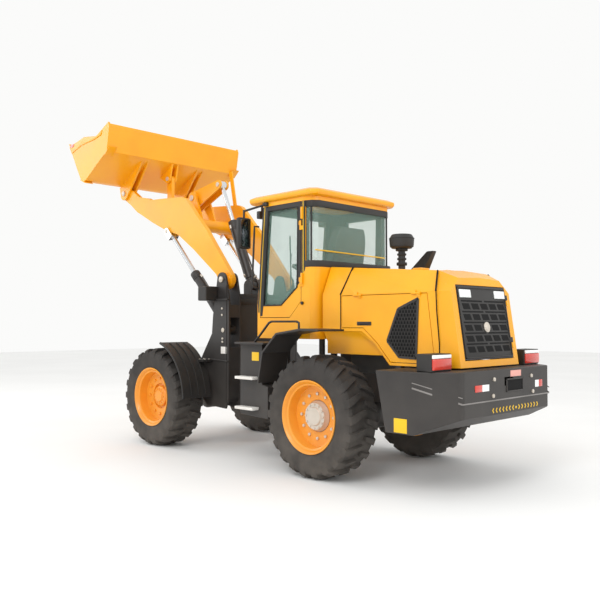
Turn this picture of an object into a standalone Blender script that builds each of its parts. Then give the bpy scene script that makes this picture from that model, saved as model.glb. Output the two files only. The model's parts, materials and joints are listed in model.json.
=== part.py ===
"""Articulated wheel loader with its boom raised, modelled as separate jointed pieces.

Metres, +Z up. The machine faces -Y and its left side is +X. Every measure below is taken
from the articulation pin: y = 0 on the pin, z = 0 on the ground.
"""
import math

import bpy
import bmesh
from mathutils import Matrix, Vector

# Driving sizes --------------------------------------------------------------
seat_gap = 0.0003          # between two pieces that touch
pin_gap = 0.0005           # beside a boss that turns between two plates
panel_gap = 0.006          # round a door or a hinged panel
sheet = 0.02               # hood, fender and bucket side sheet

axle_offset = 1.35         # pin to each axle
track_half = 0.82          # centre plane to the middle of a tyre
tyre_radius = 0.5875
tyre_width = 0.405
rim_radius = 0.345
wheel_steps = 28
axle_tube = 0.085
axle_bulge = 0.20

rail_inner = 0.26          # rear frame rails
rail_outer = 0.31
rail_bottom = 0.70
rail_top = 0.98
rail_end = 2.30

hinge_plate = 0.04         # articulation hinge
hinge_radius = 0.10
hinge_pin = 0.035
hinge_upper = 0.93
hinge_lower = 0.47

cab_half = 0.65
cab_floor = 1.32
cab_waist = 1.68
cab_top = 2.80
cab_front = 0.10
cab_side_front = 0.22
cab_lean = 0.10            # how far the front leans back at the top
cab_side_rear = 0.93
cab_rear = 1.075
cab_rear_low = 1.11
cab_wall = 0.05
roof_half = 0.69
roof_front = 0.066
roof_rear = 1.125
roof_height = 0.09
glass = 0.006

hood_front = 1.125
hood_half = 0.56
hood_low_half = 0.49
hood_bottom = 1.09
hood_step = 1.405          # lower edge of the upper side panel
hood_crease = 1.77
hood_top_front = 2.065     # top skin at the front and at the rear corner section
hood_top_rear = 1.965
hood_top_half = 0.43
hood_crown = 0.015
hood_rear_half = 0.50
hood_corner = 0.16         # corner facet, from the rear face forward

weight_half = 1.00
weight_top = 1.075
weight_bottom = 0.545
weight_front = 2.175
weight_rear = 2.905
weight_rear_half = 0.757
weight_corner = 2.57

tower_outer = 0.56         # front frame side plates
tower_inner = 0.37
tower_plate = 0.025

boom_pivot = (-0.535, 2.003)
boom_centre = 0.465        # middle plane of an arm
boom_plate = 0.06
bucket_pin = (-2.80, 3.32)
lift_eye = (-1.747, 2.69)
lift_base = (-0.50, 1.40)
lift_barrel_length = 0.985
lift_barrel = 0.055
lift_rod = 0.03
lift_bore = 0.81
rod_inside = 0.12          # rod left in its barrel at rest

crank_pivot = (-1.74, 3.176)
crank_top = (-1.238, 3.30)
crank_low = (-2.402, 2.802)
link_pin = (-2.411, 3.542)
tilt_base = (-0.63, 1.95)
tilt_barrel_length = 0.92
tilt_barrel = 0.055
tilt_rod = 0.028
tilt_bore = 0.42
cross_tube = (-1.56, 2.79)
cross_radius = 0.085

bucket_half = 1.10
bucket_lip = (-3.314, 3.98)
bucket_heel = (-2.933, 3.391)
bucket_fold = (-2.283, 3.749)
bucket_rear_top = (-2.224, 4.07)
bucket_ear_gap = 0.07      # between the ears that hold an arm's tip

steer_front = (0.28, -0.40, 0.62)
steer_rear = (0.36, 0.42, 0.62)
steer_barrel = 0.035
steer_rod = 0.02
steer_barrel_length = 0.50
steer_bore = 0.425
steer_boss = 0.041         # half height of a steering cylinder's eyes

sides = (("left", 1), ("right", -1))

# Finishes ---------------------------------------------------------------------
paints = {}


def paint(name, colour, metallic=0.0, roughness=0.5, alpha=1.0):
    """One Principled material per finish."""
    if name not in paints:
        material = bpy.data.materials.new(name)
        material.use_nodes = True
        shader = material.node_tree.nodes["Principled BSDF"]
        shader.inputs["Base Color"].default_value = (*colour, 1.0)
        shader.inputs["Metallic"].default_value = metallic
        shader.inputs["Roughness"].default_value = roughness
        shader.inputs["Alpha"].default_value = alpha
        paints[name] = material
    return paints[name]


def yellow():
    return paint("yellow_paint", (0.90, 0.42, 0.02), 0.0, 0.35)


def black():
    return paint("black_paint", (0.03, 0.03, 0.035), 0.0, 0.5)


def grey():
    return paint("grey_paint", (0.07, 0.07, 0.075), 0.0, 0.45)


def rubber():
    return paint("tyre_rubber", (0.02, 0.02, 0.02), 0.0, 0.85)


def chrome():
    return paint("chrome_rod", (0.8, 0.8, 0.82), 1.0, 0.12)


def steel():
    return paint("cast_steel", (0.25, 0.25, 0.26), 0.8, 0.5)


def pane():
    return paint("cab_glass", (0.55, 0.75, 0.68), 0.0, 0.05, 0.35)


def cloth():
    return paint("seat_cover", (0.08, 0.08, 0.085), 0.0, 0.8)


# Modelling helpers ------------------------------------------------------------
def solid(mesh_builder):
    """A scratch object made from a bmesh."""
    bmesh.ops.recalc_face_normals(mesh_builder, faces=mesh_builder.faces)
    mesh = bpy.data.meshes.new("scratch")
    mesh_builder.to_mesh(mesh)
    mesh_builder.free()
    scratch = bpy.data.objects.new("scratch", mesh)
    bpy.context.collection.objects.link(scratch)
    return scratch


def loft(rings):
    """Skin closed rings with the same number of points and cap both ends."""
    builder = bmesh.new()
    rows = [[builder.verts.new(point) for point in ring] for ring in rings]
    count = len(rows[0])
    for row, following in zip(rows, rows[1:]):
        for i in range(count):
            j = (i + 1) % count
            builder.faces.new((row[i], row[j], following[j], following[i]))
    builder.faces.new(rows[0])
    builder.faces.new(rows[-1])
    return solid(builder)


def side_plate(outline, low, high):
    """A (y, z) outline carried from x = low to x = high."""
    return loft([[(x, y, z) for y, z in outline] for x in (low, high)])


def plan_plate(outline, low, high):
    """An (x, y) outline carried from z = low to z = high."""
    return loft([[(x, y, z) for x, y in outline] for z in (low, high)])


def front_plate(outline, low, high):
    """An (x, z) outline carried from y = low to y = high."""
    return loft([[(x, y, z) for x, z in outline] for y in (low, high)])


def block(x, y, z):
    """A box from three (low, high) pairs."""
    return plan_plate([(x[0], y[0]), (x[1], y[0]), (x[1], y[1]), (x[0], y[1])], *z)


def arc(centre, radius, start, end, count):
    """Points on an arc, angles in degrees."""
    points = []
    for i in range(count + 1):
        angle = math.radians(start + (end - start) * i / count)
        points.append((centre[0] + radius * math.cos(angle), centre[1] + radius * math.sin(angle)))
    return points


def bar(start, end, radius, sides_count=16):
    """A round bar between two points."""
    start, end = Vector(start), Vector(end)
    builder = bmesh.new()
    bmesh.ops.create_cone(builder, cap_ends=True, segments=sides_count, radius1=radius,
                          radius2=radius, depth=(end - start).length)
    turn = (end - start).to_track_quat("Z", "Y").to_matrix().to_4x4()
    bmesh.ops.transform(builder, matrix=Matrix.Translation((start + end) / 2) @ turn,
                        verts=builder.verts)
    return solid(builder)


def cross_bar(point, radius, low, high, sides_count=20):
    """A round bar along X at a (y, z) point."""
    return bar((low, *point), (high, *point), radius, sides_count)


def turned(profile, centre, steps=32):
    """Turn closed (x, radius) points about the X axis line through centre."""
    builder = bmesh.new()
    start = [builder.verts.new((x, 0, radius)) for x, radius in profile]
    edges = [builder.edges.new((start[i], start[(i + 1) % len(start)])) for i in range(len(start))]
    bmesh.ops.spin(builder, geom=start + edges, cent=(0, 0, 0), axis=(1, 0, 0),
                   angle=math.tau, steps=steps)
    bmesh.ops.remove_doubles(builder, verts=builder.verts, dist=0.00001)
    on_axis = [edge for edge in builder.edges if not edge.link_faces]
    bmesh.ops.delete(builder, geom=on_axis, context="EDGES")
    bmesh.ops.translate(builder, vec=centre, verts=builder.verts)
    return solid(builder)


def boolean(base, operation, tools):
    """Combine base with each tool in turn and use the tools up."""
    for tool in tools:
        modifier = base.modifiers.new(operation.lower(), "BOOLEAN")
        modifier.operation = operation
        modifier.solver = "EXACT"
        modifier.object = tool
        bpy.context.view_layer.update()
        graph = bpy.context.evaluated_depsgraph_get()
        result = bpy.data.meshes.new_from_object(base.evaluated_get(graph))
        base.modifiers.clear()
        base.data = result
        bpy.data.objects.remove(tool)
    return base


def join(base, *tools):
    return boolean(base, "UNION", tools)


def cut(base, *tools):
    return boolean(base, "DIFFERENCE", tools)


def overlap(base, *tools):
    return boolean(base, "INTERSECT", tools)


def copy_of(piece):
    twin = piece.copy()
    twin.data = piece.data.copy()
    bpy.context.collection.objects.link(twin)
    return twin


def mirrored(piece):
    """A mirror image across the centre plane."""
    twin = copy_of(piece)
    builder = bmesh.new()
    builder.from_mesh(twin.data)
    bmesh.ops.transform(builder, matrix=Matrix.Scale(-1, 4, (1, 0, 0)), verts=builder.verts)
    bmesh.ops.reverse_faces(builder, faces=builder.faces)
    builder.to_mesh(twin.data)
    builder.free()
    return twin


# Bodies: one empty on each joint's axis ----------------------------------------
bodies = {}


def body(name, at):
    frame = bpy.data.objects.new("body_" + name, None)
    frame.location = at
    frame.parent = bodies.get("machine")
    bpy.context.collection.objects.link(frame)
    bodies[name] = frame
    return frame


def finish(piece, name, material, carrier):
    """Name a piece, give it its finish and hang it on its body's empty."""
    frame = bodies[carrier]
    piece.name = name
    piece.data.name = name
    piece.data.transform(Matrix.Translation(-frame.location))
    piece.data.materials.clear()
    piece.data.materials.append(material)
    for polygon in piece.data.polygons:
        polygon.use_smooth = False
    piece.parent = frame
    return piece


def make_bodies():
    body("machine", (0, 0, 0))
    body("rear", (0, 0, 0))
    body("front", (0, 0, 0))
    for name, sign in sides:
        body("front_wheel_" + name, (sign * track_half, -axle_offset, tyre_radius))
        body("rear_wheel_" + name, (sign * track_half, axle_offset, tyre_radius))
        body("lift_barrel_" + name, (sign * boom_centre, *lift_base))
        body("lift_rod_" + name, (sign * boom_centre, *lift_eye))
        body("steer_barrel_" + name, (sign * steer_rear[0], *steer_rear[1:]))
        body("steer_rod_" + name, (sign * steer_front[0], *steer_front[1:]))
        body("side_door_" + name, (sign * (hood_half + hinge_out), hood_front, hood_crease))
    body("boom", (0, *boom_pivot))
    body("crank", (0, *crank_pivot))
    body("link", (0, *link_pin))
    body("bucket", (0, *bucket_pin))
    body("tilt_barrel", (0, *tilt_base))
    body("tilt_rod", (0, *crank_top))
    body("cab_door", (cab_half + hinge_out, door_rear, cab_waist))
    body("rear_door", (grille_hinge_x, grille_plane(hood_bottom), hood_bottom))


# Hinged panels -------------------------------------------------------------------
knuckle = 0.010            # radius of a hinge knuckle
hinge_out = 0.0105         # knuckle centre outside the skin
leaf_width = 0.030
leaf_thick = 0.005
knuckle_length = 0.05
door_rear = 0.905
grille_half = 0.42
grille_hinge_x = -(grille_half - panel_gap / 2)


def knuckles(fixed, moving, start, along, across, outward):
    """Two knuckles in line at start: one on the fixed panel, one on the moving one.

    along runs down the hinge line, across points over the fixed panel and outward away
    from the skin. The leaves reach from the knuckles onto their own panels.
    """
    along, across, outward = (Vector(v).normalized() for v in (along, across, outward))
    start = Vector(start)
    built = []
    for owner, offset, way in ((fixed, 0, across), (moving, knuckle_length + pin_gap, -across)):
        low = start + along * offset
        high = low + along * knuckle_length
        barrel = bar(low, high, knuckle, 10)
        corners = [low - outward * (hinge_out + leaf_thick),
                   low - outward * (hinge_out + leaf_thick) + way * leaf_width,
                   low + way * leaf_width - outward * knuckle * 0.5,
                   low + outward * knuckle * 0.5]
        leaf = loft([[tuple(c + along * 0.004) for c in corners],
                     [tuple(c + along * (knuckle_length - 0.004)) for c in corners]])
        built.append(join(owner, join(barrel, leaf)))
    return built


# Wheels -------------------------------------------------------------------------
def make_wheels():
    half = tyre_width / 2
    bead_half = 0.17
    bead_radius = 0.33
    tyre_profile = [(-bead_half, bead_radius), (-bead_half, rim_radius + 0.012),
                    (-half, 0.44), (-half, 0.52), (-half + 0.02, 0.57), (-half + 0.05, tyre_radius),
                    (half - 0.05, tyre_radius), (half - 0.02, 0.57), (half, 0.52), (half, 0.44),
                    (bead_half, rim_radius + 0.012), (bead_half, bead_radius)]
    barrel = bead_radius - seat_gap
    flange = bead_half + seat_gap
    for end, place in (("front", -axle_offset), ("rear", axle_offset)):
        for name, sign in sides:
            centre = (sign * track_half, place, tyre_radius)
            hub_out = 0.085 if end == "rear" else 0.055
            hub_radius = 0.135 if end == "rear" else 0.10
            rim = [(0.189, rim_radius + 0.008), (flange, rim_radius + 0.008), (flange, barrel),
                   (-flange, barrel), (-flange, rim_radius + 0.008), (-0.185, rim_radius + 0.008),
                   (-0.185, barrel - 0.015), (0.005, barrel - 0.03), (hub_inner, 0.20),
                   (hub_inner, 0.0), (hub_out, 0.0), (hub_out, hub_radius),
                   (0.035, hub_radius + 0.015), (0.045, 0.27), (0.15, barrel - 0.03),
                   (0.189, barrel - 0.012)]
            tyre = turned([(sign * x, r) for x, r in tyre_profile], centre, wheel_steps)
            finish(tyre, f"{end}_tyre_{name}", rubber(), f"{end}_wheel_{name}")
            wheel = turned([(sign * x, r) for x, r in rim], centre, wheel_steps)
            finish(wheel, f"{end}_rim_{name}", yellow(), f"{end}_wheel_{name}")


hub_inner = 0.015          # inner face of a wheel disc, outboard of the tyre's middle


def make_axle(name, place, carrier):
    end = track_half + hub_inner - pin_gap
    drum = 0.66
    profile = [(-end, 0.0), (-end, 0.17), (-drum, 0.17), (-drum + 0.03, axle_tube),
               (-0.24, axle_tube), (-0.15, axle_bulge), (0.15, axle_bulge), (0.24, axle_tube),
               (drum - 0.03, axle_tube), (drum, 0.17), (end, 0.17), (end, 0.0)]
    axle = turned(profile, (0, place, tyre_radius), 24)
    for sign in (-1, 1):
        inner, outer = sorted((sign * 0.275, sign * 0.335))
        pad = block((inner, outer), (place - 0.07, place + 0.07), (tyre_radius, rail_bottom - seat_gap))
        axle = join(axle, pad)
    return finish(axle, name, black(), carrier)


# Rear frame and what it carries -----------------------------------------------------
def hinge_fork(direction, reach, low):
    """One plate of the articulation hinge, rounded about the pin."""
    outline = arc((0, 0), hinge_radius, 180, 360, 12) if direction > 0 else \
        arc((0, 0), hinge_radius, 0, 180, 12)
    outline = outline + [(direction * 0.14, direction * reach), (-direction * 0.14, direction * reach)]
    return plan_plate(outline, low, low + hinge_plate)


def make_rear_frame():
    frame = block((-0.14, 0.14), (0.16, 0.24), (hinge_lower, hinge_upper + hinge_plate + 0.01))
    parts = [hinge_fork(1, 0.20, hinge_upper), hinge_fork(1, 0.20, hinge_lower)]
    parts.append(bar((0, 0, hinge_upper - hinge_plate - 0.03), (0, 0, hinge_upper + hinge_plate + 0.02),
                     hinge_pin, 24))
    parts.append(bar((0, 0, hinge_lower - 0.02), (0, 0, hinge_lower + 2 * hinge_plate + 0.03),
                     hinge_pin, 24))
    parts.append(block((-rail_outer, rail_outer), (0.21, 0.27), (rail_bottom, rail_top)))
    for sign in (-1, 1):
        rail = sorted((sign * rail_inner, sign * rail_outer))
        parts.append(block(rail, (0.24, rail_end), (rail_bottom, rail_top)))
        wing = sorted((sign * (rail_outer - 0.01), sign * (tank_inner - seat_gap)))
        for low in (0.30, 0.50):
            parts.append(block(wing, (low, low + 0.06), (0.84, 0.94)))
        post = sorted((sign * (rail_inner + 0.005), sign * (rail_outer - 0.005)))
        for low in (0.28, 1.00):
            parts.append(block(post, (low, low + 0.06), (rail_top - 0.05, cab_floor - seat_gap)))
        outrigger = sorted((sign * (rail_outer - 0.01), sign * (hood_half - 0.004)))
        parts.append(block(outrigger, (hood_arm, hood_arm + 0.07), (0.88, 0.94)))
        arm = sorted((sign * 0.50, sign * (hood_half - 0.006)))
        parts.append(block(arm, (hood_arm + 0.005, hood_arm + 0.065), (0.90, hood_bottom - seat_gap)))
        lug = sorted((sign * (rail_outer - 0.01), sign * (steer_rear[0] + 0.04)))
        parts.append(block(lug, (steer_rear[1] - 0.04, steer_rear[1] + 0.04),
                           (steer_rear[2] + steer_boss + pin_gap, rail_bottom + 0.04)))
    for low, high in ((1.26, 1.34), (2.04, 2.12), (rail_end - 0.06, rail_end)):
        parts.append(block((-rail_inner - 0.01, rail_inner + 0.01), (low, high),
                           (0.81, engine_bottom - seat_gap)))
    finish(join(frame, *parts), "rear_frame", black(), "rear")


tank_inner = 0.66
hood_arm = 2.05
engine_bottom = 0.96


def make_engine():
    engine = block((-0.235, 0.235), (1.22, 2.16), (engine_bottom, 1.60))
    finish(engine, "engine", steel(), "rear")


def make_counterweight():
    plan = [(weight_half, weight_front), (weight_half, weight_corner),
            (weight_rear_half + 0.03, weight_rear - 0.03), (weight_rear_half - 0.03, weight_rear)]
    plan = plan + [(-x, y) for x, y in reversed(plan)]
    weight = plan_plate(plan, weight_bottom, weight_top)
    notch = block((-0.42, 0.42), (1.9, rail_end + seat_gap), (0.3, 1.3))
    slope_front = side_plate([(weight_front - 0.1, weight_top + 0.005), (weight_front, weight_top + 0.005),
                              (2.285, weight_bottom - 0.01), (weight_front - 0.1, weight_bottom - 0.01)],
                             -1.2, 1.2)
    slope_rear = side_plate([(weight_corner, weight_bottom), (weight_rear + 0.1, 0.725),
                             (weight_rear + 0.1, 0.4), (weight_corner, 0.4)], -1.2, 1.2)
    hitch = block((hitch_x - 0.075, hitch_x + 0.075), (weight_rear - 0.08, weight_rear + 0.1),
                  (0.93, 1.0))
    cut(weight, notch, slope_front, slope_rear, hitch)
    finish(weight, "counterweight", grey(), "rear")
    for name, sign in sides:
        lamp = block(sorted((sign * 0.63, sign * 0.925)), (2.56, 2.715),
                     (weight_top + seat_gap, 1.225))
        finish(lamp, f"tail_lamp_{name}", black(), "rear")


hitch_x = 0.0


def grille_plane(z):
    """Rear face of the hood: its y at a height z."""
    return 2.722 - 0.148 * (z - 1.129)


def hood_ring(y, half, top_half, top, bottom, short=0.0, crease=hood_crease):
    """The hood's cross-section; with no y it lies short of the sloping rear face."""
    ring = [(half, bottom), (half, crease), (top_half, top), (0.0, top + hood_crown)]
    ring = ring + [(-x, z) for x, z in reversed(ring[:-1])]
    if y is None:
        return [(x, grille_plane(z) - short, z) for x, z in ring]
    return [(x, y, z) for x, z in ring]


def make_hood():
    wall = sheet
    rear_top = hood_half - hood_rear_half
    outer = loft([hood_ring(hood_front, hood_half, hood_top_half, hood_top_front, hood_bottom),
                  hood_ring(None, hood_half, hood_top_half - 0.02, hood_top_rear, hood_bottom, hood_corner),
                  hood_ring(None, hood_rear_half, hood_top_half - 0.02 - rear_top, hood_top_rear - 0.075, hood_bottom)])
    half, top, low = hood_top_half - wall / 2, hood_top_rear - wall, hood_bottom - 0.1
    inner = loft([hood_ring(hood_front + wall, hood_half - wall, half, hood_top_front - wall, low),
                  hood_ring(None, hood_half - wall, half - 0.02, top, low, hood_corner + wall / 2),
                  hood_ring(None, hood_rear_half - wall, half - 0.02 - rear_top, top - 0.075, low, wall)])
    shell = cut(outer, inner)
    under = [(hood_front - 0.1, hood_step), (1.65, hood_step), (1.82, 1.29), (2.0, hood_bottom - 0.01),
             (2.0, 0.9), (hood_front - 0.1, 0.9)]
    shell = cut(shell, side_plate(under, -0.8, 0.8))
    slope = [(hood_low_half, 1.175), (hood_low_half, 1.30), (hood_half - 0.004, hood_step + 0.003),
             (hood_half - 0.004, hood_step + 0.03), (hood_half - 0.03, hood_step + 0.03),
             (hood_low_half - wall, 1.31), (hood_low_half - wall, 1.175)]
    for sign in (-1, 1):
        panel = front_plate([(sign * x, z) for x, z in slope], hood_front + 0.003, 2.06)
        shell = join(shell, panel)
        rib = [(1.62, hood_step + 0.025), (1.62, hood_step - 0.015), (1.80, 1.285), (1.98, hood_bottom + 0.002),
               (2.02, hood_bottom + 0.002), (1.84, 1.31), (1.67, hood_step + 0.025)]
        shell = join(shell, side_plate(rib, *sorted((sign * (hood_low_half - 0.014), sign * (hood_half - 0.009)))))
    doors = {}
    for name, sign in sides:
        span = sorted((sign * 0.50, sign * 0.70))
        doors[name] = overlap(copy_of(shell), side_plate(side_door_outline(panel_gap), *span))
        shell = cut(shell, side_plate(side_door_outline(0.0), *span))
    rear_door = overlap(copy_of(shell), front_plate(grille_outline(panel_gap), 2.45, 3.0))
    shell = cut(shell, front_plate(grille_outline(0.0), 2.45, 3.0))
    for name, sign in sides:
        for y in (1.55, 2.25):
            start = (sign * (hood_half + hinge_out), y, hood_crease - 0.012 - panel_gap / 2)
            shell, doors[name] = knuckles(shell, doors[name], start, (0, 1, 0), (0, 0, 1), (sign, 0, 0))
    slope = Vector((0, grille_plane(1.0) - grille_plane(0.0), 1.0)).normalized()
    outward = Vector((0, slope.z, -slope.y))
    for z in (1.25, 1.65):
        start = Vector((grille_hinge_x, grille_plane(z), z)) + outward * hinge_out
        shell, rear_door = knuckles(shell, rear_door, start, slope, (-1, 0, 0), outward)
    finish(shell, "hood", yellow(), "rear")
    for name, sign in sides:
        finish(doors[name], f"side_door_{name}", yellow(), f"side_door_{name}")
    finish(rear_door, "rear_grille_door", black(), "rear_door")


def side_door_outline(inset):
    top = hood_crease - 0.012
    step = hood_step + 0.03
    return [(1.385 + inset, top - inset), (1.385 + inset, step + inset), (1.665 + inset * 0.3, step + inset),
            (1.835 + inset, 1.293 + inset), (1.995 + inset, hood_bottom + 0.025 + inset),
            (2.50 - inset, hood_bottom + 0.025 + inset), (2.42 - inset, top - inset)]


def grille_outline(inset):
    low, high = 1.15, 1.83
    half = grille_half - inset
    return [(-half, low + inset), (half, low + inset), (half, high - inset), (-half, high - inset)]


# Cab -------------------------------------------------------------------------------
def cab_ring(z, wall=0.0, low=False):
    """The cab's outline at height z, moved in by the wall."""
    lean = cab_lean * max(0.0, (z - cab_waist)) / (cab_top - cab_waist)
    rear = cab_rear_low if low else cab_rear
    front = cab_front + lean
    side_front = cab_side_front + lean
    half = cab_half - wall
    ring = [(0.53 - wall * 0.6, front + wall), (half, side_front + wall * 0.4),
            (half, cab_side_rear + (0.10 if low else 0.0)),
            (half - 0.03, rear - 0.045 - wall * 0.4), (half - 0.10, rear - wall)]
    ring = ring + [(-x, y) for x, y in reversed(ring)]
    return [(x, y, z) for x, y in ring]


door_top = 2.755
door_bottom = 1.54
quarter_front = 0.965
glass_low = 2.13
glass_high = 2.74


def door_outline(inset):
    front_low, front_high = 0.262, 0.345
    return [(front_low + inset, door_bottom + inset), (0.73, door_bottom + inset),
            (door_rear - inset, 1.715), (door_rear - inset, door_top - inset),
            (front_high + inset, door_top - inset), (front_low + inset, 1.70)]


def door_window(inset):
    return [(0.315 + inset, 1.675 + inset), (0.60, 1.675 + inset), (0.845 - inset, 1.86),
            (0.855 - inset, 2.70 - inset), (0.395 + inset, 2.70 - inset)]


def right_window(inset):
    return [(0.32 + inset, 1.76 + inset), (0.86 - inset, 2.02 + inset), (0.875 - inset, 2.70 - inset),
            (0.395 + inset, 2.70 - inset)]


def windscreen(inset):
    half = 0.455 - inset
    return [(-half, 1.74 + inset), (half, 1.74 + inset), (half, 2.70 - inset), (-half, 2.70 - inset)]


def make_cab():
    shell = loft([cab_ring(cab_floor, low=True), cab_ring(cab_waist, low=True),
                  cab_ring(2.08, low=True), cab_ring(2.12), cab_ring(cab_top)])
    room = loft([cab_ring(cab_floor + 0.04, cab_wall, True), cab_ring(cab_waist, cab_wall, True),
                 cab_ring(2.06, cab_wall, True), cab_ring(2.14, cab_wall), cab_ring(cab_top + 0.05, cab_wall)])
    shell = cut(shell, room)
    door = overlap(copy_of(shell), side_plate(door_outline(panel_gap), 0.55, 0.75))
    door = cut(door, side_plate(door_window(0.0), 0.5, 0.8))
    shell = cut(shell, side_plate(door_outline(0.0), 0.5, 0.8))
    shell = cut(shell, side_plate(right_window(0.0), -0.8, -0.5))
    shell = cut(shell, front_plate(windscreen(0.0), -0.2, 0.5))
    wrap = block((-0.8, 0.8), (quarter_front, 1.5), (glass_low, glass_high))
    shell = cut(shell, wrap)
    for z in (1.86, 2.45):
        start = (cab_half + hinge_out, door_rear - panel_gap / 2, z)
        shell, door = knuckles(shell, door, start, (0, 0, 1), (0, 1, 0), (1, 0, 0))
    finish(shell, "cab_shell", yellow(), "rear")
    finish(door, "cab_door", yellow(), "cab_door")

    roof_rings = []
    for z, inset in ((0.0, 0.02), (0.02, 0.0), (0.055, 0.0), (roof_height - 0.008, 0.05), (roof_height, 0.12)):
        half = roof_half - inset
        front, rear, corner = roof_front + inset, roof_rear - inset, 0.06
        ring = [(half - corner, front), (half, front + corner), (half, rear - corner), (half - corner, rear)]
        ring = ring + [(-x, y) for x, y in reversed(ring)]
        roof_rings.append([(x, y, cab_top + seat_gap + z) for x, y in ring])
    finish(loft(roof_rings), "cab_roof", yellow(), "rear")
    make_glass()


def make_glass():
    inset = seat_gap
    door_pane = side_plate(door_window(inset), cab_half - 0.03, cab_half - 0.03 + glass)
    finish(door_pane, "door_glass", pane(), "cab_door")
    right_pane = side_plate(right_window(inset), -cab_half + 0.03 - glass, -cab_half + 0.03)
    finish(right_pane, "right_glass", pane(), "rear")
    tilt = cab_lean / (cab_top - cab_waist)
    corners = windscreen(inset)
    place = cab_front + 0.02
    rings = [[(x, place + depth + tilt * (z - cab_waist), z) for x, z in corners] for depth in (0.0, glass)]
    finish(loft(rings), "windscreen", pane(), "rear")
    depth = 0.02
    rows = []
    for z in (glass_low + inset, glass_high - inset):
        outer = [(x, y, z) for x, y, _ in cab_ring(z, depth)[2:8]]
        inner = [(x, y, z) for x, y, _ in cab_ring(z, depth + glass)[2:8]]
        front = quarter_front + inset
        outer[0] = (outer[0][0], front, z)
        outer[-1] = (outer[-1][0], front, z)
        inner[0] = (inner[0][0], front, z)
        inner[-1] = (inner[-1][0], front, z)
        rows.append(outer + list(reversed(inner)))
    finish(loft(rows), "rear_glass", pane(), "rear")


def make_cab_inside():
    floor = cab_floor + 0.04 + seat_gap
    seat = block((-0.17, 0.17), (0.52, 0.86), (floor, 1.78))
    cushion = side_plate([(0.44, 1.76), (0.44, 1.85), (0.50, 1.89), (0.88, 1.86), (0.96, 2.50),
                          (1.0, 2.50), (1.005, 2.40), (0.97, 1.78)], -0.25, 0.25)
    finish(join(seat, cushion), "operator_seat", cloth(), "rear")
    column = side_plate([(0.19, floor), (0.40, floor), (0.36, 1.95), (0.33, 2.02), (0.27, 2.00), (0.21, 1.60)],
                        -0.10, 0.10)
    hub = Vector((0, 0.36, 2.10))
    lean = Vector((0, 0.35, 0.94)).normalized()
    wheel = turned([(-0.012, 0.168), (0.012, 0.168), (0.012, 0.192), (-0.012, 0.192)], (0, 0, 0), 24)
    spin = lean.to_track_quat("X", "Z").to_matrix().to_4x4()
    wheel.data.transform(Matrix.Translation(hub) @ spin)
    shaft = bar(hub - lean * 0.16, hub + lean * 0.012, 0.022, 12)
    column = join(column, shaft)
    for degrees in (0, 120, 240):
        rim_way = spin.to_3x3() @ Vector((0, math.cos(math.radians(degrees)), math.sin(math.radians(degrees))))
        column = join(column, bar(hub, hub + rim_way * 0.178, 0.008, 8))
    column = join(column, wheel)
    finish(column, "steering_column", black(), "rear")


def make_tanks_and_fenders():
    for name, sign in sides:
        tank_profile = [(0.26, 0.52), (0.70, 0.50), (0.70, 0.83), (0.61, 0.85), (0.61, 1.27), (0.26, 1.27)]
        tank = side_plate(tank_profile, tank_inner, 0.93)
        top = block((tank_inner, 1.00), (0.24, 0.70), (1.262, 1.285))
        tank = join(tank, top)
        for z in (0.58, 0.895):
            tank = join(tank, block((0.92, 1.02), (0.28, 0.56), (z, z + 0.028)))
        outer_side = [(0.632, 0.87), (0.70, 1.19), (0.91, 1.386), (1.25, 1.432), (1.50, 1.425)]
        inner_side = [(1.50, 1.405), (1.25, 1.412), (0.92, 1.366), (0.718, 1.18), (0.652, 0.87)]
        fender = side_plate(outer_side + inner_side, cab_half + seat_gap, 1.02)
        if sign < 0:
            tank, fender = swap_side(tank), swap_side(fender)
        finish(tank, f"step_tank_{name}", grey(), "rear")
        finish(fender, f"rear_fender_{name}", black(), "rear")


def swap_side(piece):
    twin = mirrored(piece)
    bpy.data.objects.remove(piece)
    return twin


def hood_top(x, y):
    """Height of the hood's top skin, between its front and its corner section."""
    rear = grille_plane(hood_top_rear) - hood_corner
    share = (y - hood_front) / (rear - hood_front)
    edge = hood_top_front + (hood_top_rear - hood_top_front) * share
    half = hood_top_half - 0.02 * share
    return edge + hood_crown * (1 - abs(x) / half)


def make_hood_fittings():
    seat = seat_gap * 2
    stem_ring = [(x + 0.12, y + 1.80) for x, y in arc((0, 0), 0.035, 0, 330, 11)]
    stem = loft([[(x, y, hood_top(x, y) + seat) for x, y in stem_ring], [(x, y, 2.24) for x, y in stem_ring]])
    bowl = turned([(0.0, 0.0), (0.0, 0.10), (0.03, 0.12), (0.10, 0.125), (0.14, 0.10), (0.15, 0.0)], (0, 0, 0), 20)
    bowl.data.transform(Matrix.Translation((0.12, 1.80, 2.23)) @ Matrix.Rotation(math.radians(-90), 4, "Y"))
    finish(join(stem, bowl), "air_cleaner", black(), "rear")
    base = [(-0.20, 1.74), (-0.10, 1.74), (-0.10, 1.90), (-0.20, 1.90)]
    mouth_ring = [(-0.18, 1.93), (-0.12, 1.93), (-0.12, 2.01), (-0.18, 2.01)]
    pipe = loft([[(x, y, hood_top(x, y) + seat) for x, y in base], [(x, y, 2.21) for x, y in mouth_ring]])
    finish(pipe, "exhaust_stack", black(), "rear")


def make_mirrors():
    for name, sign in sides:
        foot = block(sorted((sign * (cab_half + seat_gap), sign * (roof_half - 0.005))), (0.34, 0.40),
                     (door_top + 0.004, cab_top - 0.004))
        arm = bar((sign * (roof_half - 0.02), 0.37, 2.777), (sign * 0.85, 0.22, 2.70), 0.012, 10)
        drop = bar((sign * 0.85, 0.22, 2.715), (sign * 0.85, 0.22, 2.50), 0.012, 10)
        head = block(sorted((sign * 0.77, sign * 0.93)), (0.19, 0.24), (2.30, 2.62))
        finish(join(foot, arm, drop, head), f"mirror_{name}", black(), "rear")


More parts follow.
